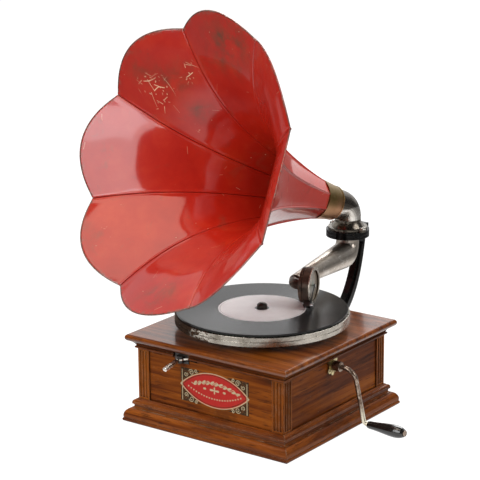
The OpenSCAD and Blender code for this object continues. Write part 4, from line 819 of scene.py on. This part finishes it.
def fold_height(d):
    """How far the sheet stands out at a distance d in millimetres from its seam."""
    rise = max(0.0, min(1.0, FOLD_W - d))
    return SEAM_H * rise * rise * (3 - 2 * rise)


def lap_height(d):
    """The inner face near a seam: a fine groove at the joint and a rounded lap beside it."""
    return GROOVE_D * max(0.0, 1 - d / GROOVE_W) ** 2 - LAP_H * max(0.0, 1 - ((d - LAP_AT) / LAP_W) ** 2)


def dent_height(place, t, d):
    """Shallow hammer waves in the sheet, none at the ferrule, the seams and the mouth."""
    wave = noise.noise(place * DENT_SPREAD) * DENT_H
    return wave * min(1, t * 3) * min(1, d / DENT_FADE) * min(1, (1 - t) * 14)


def petal_frame(index):
    return to_horn @ Matrix.Rotation(math.radians(90 + PETAL_TURN + index * 360 / PETALS), 4, "Z")


def petal(index):
    """One petal as a closed sheet, with its folds outside and a fine groove at each seam inside."""
    here = petal_frame(index)
    work = bmesh.new()
    petal_map = work.loops.layers.uv.new("petal")
    ruled_map = work.loops.layers.uv.new("millimetres")
    outer, inner, marks = [], [], {}
    for t in ROWS:
        half_mm = seam_radius(t) * math.sin(HALF)
        fold_share = min(1, 0.25 + t * 3, (1.02 - t) * 22)
        outer.append([])
        inner.append([])
        for x in petal_columns(t):
            d = (1 - abs(x)) * half_mm
            dent = dent_height(here @ petal_place(t, x, 0), t, d)
            sides = ((outer, fold_height(d) * fold_share + dent, BACK),
                     (inner, lap_height(d) - SHEET + dent, 0))
            for rows, out, shift in sides:
                vert = work.verts.new(here @ petal_place(t, x, out) * MM)
                ruled_at = (x * half_mm + RULED_PITCH * index, t * RULED_L + shift)
                marks[vert] = (min(1.0, d / NEAR_SEAM), t), ruled_at
                rows[-1].append(vert)
    columns = len(outer[0])
    for i in range(len(ROWS) - 1):
        for j in range(columns - 1):
            work.faces.new((outer[i][j], outer[i][j + 1], outer[i + 1][j + 1], outer[i + 1][j]))
            work.faces.new((inner[i][j], inner[i + 1][j], inner[i + 1][j + 1], inner[i][j + 1]))
        work.faces.new((outer[i][0], outer[i + 1][0], inner[i + 1][0], inner[i][0]))
        work.faces.new((outer[i][-1], inner[i][-1], inner[i + 1][-1], outer[i + 1][-1]))
    for j in range(columns - 1):
        work.faces.new((outer[0][j], inner[0][j], inner[0][j + 1], outer[0][j + 1]))
        work.faces.new((outer[-1][j], outer[-1][j + 1], inner[-1][j + 1], inner[-1][j]))
    for face in work.faces:
        face.smooth = True
        for loop in face.loops:
            loop[petal_map].uv, loop[ruled_map].uv = marks[loop.vert]
    bmesh.ops.recalc_face_normals(work, faces=work.faces)
    mesh = bpy.data.meshes.new(f"petal_{index + 1}")
    work.to_mesh(mesh)
    work.free()
    sheet = new_piece(f"petal_{index + 1}", mesh, lacquer, "horn")
    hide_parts(f"horn_petal_{index + 1}")


for index in range(PETALS):
    petal(index)

# Rim: the mouth of each petal is rolled over an iron wire, and the lacquer has worn off it in
# places, down to brown and grey metal.
RIM_AT, RIM_R = 0.9985, 0.95
rim = Finish("rim_wire", metallic=0.6, roughness=0.38)
rim.colour(rim.colours(rim.cloud(150, 6.0, 0.75), (0.36, (0.10, 0.035, 0.028)), (0.52, (0.16, 0.10, 0.08)),
                       (0.68, (0.36, 0.30, 0.26))))
for index in range(PETALS):
    edge = [tuple(petal_frame(index) @ petal_place(RIM_AT, x, -SHEET / 2)) for x in petal_columns(1.0)]
    line_work(f"rim_wire_{index + 1}", [edge], RIM_R, rim, "horn")
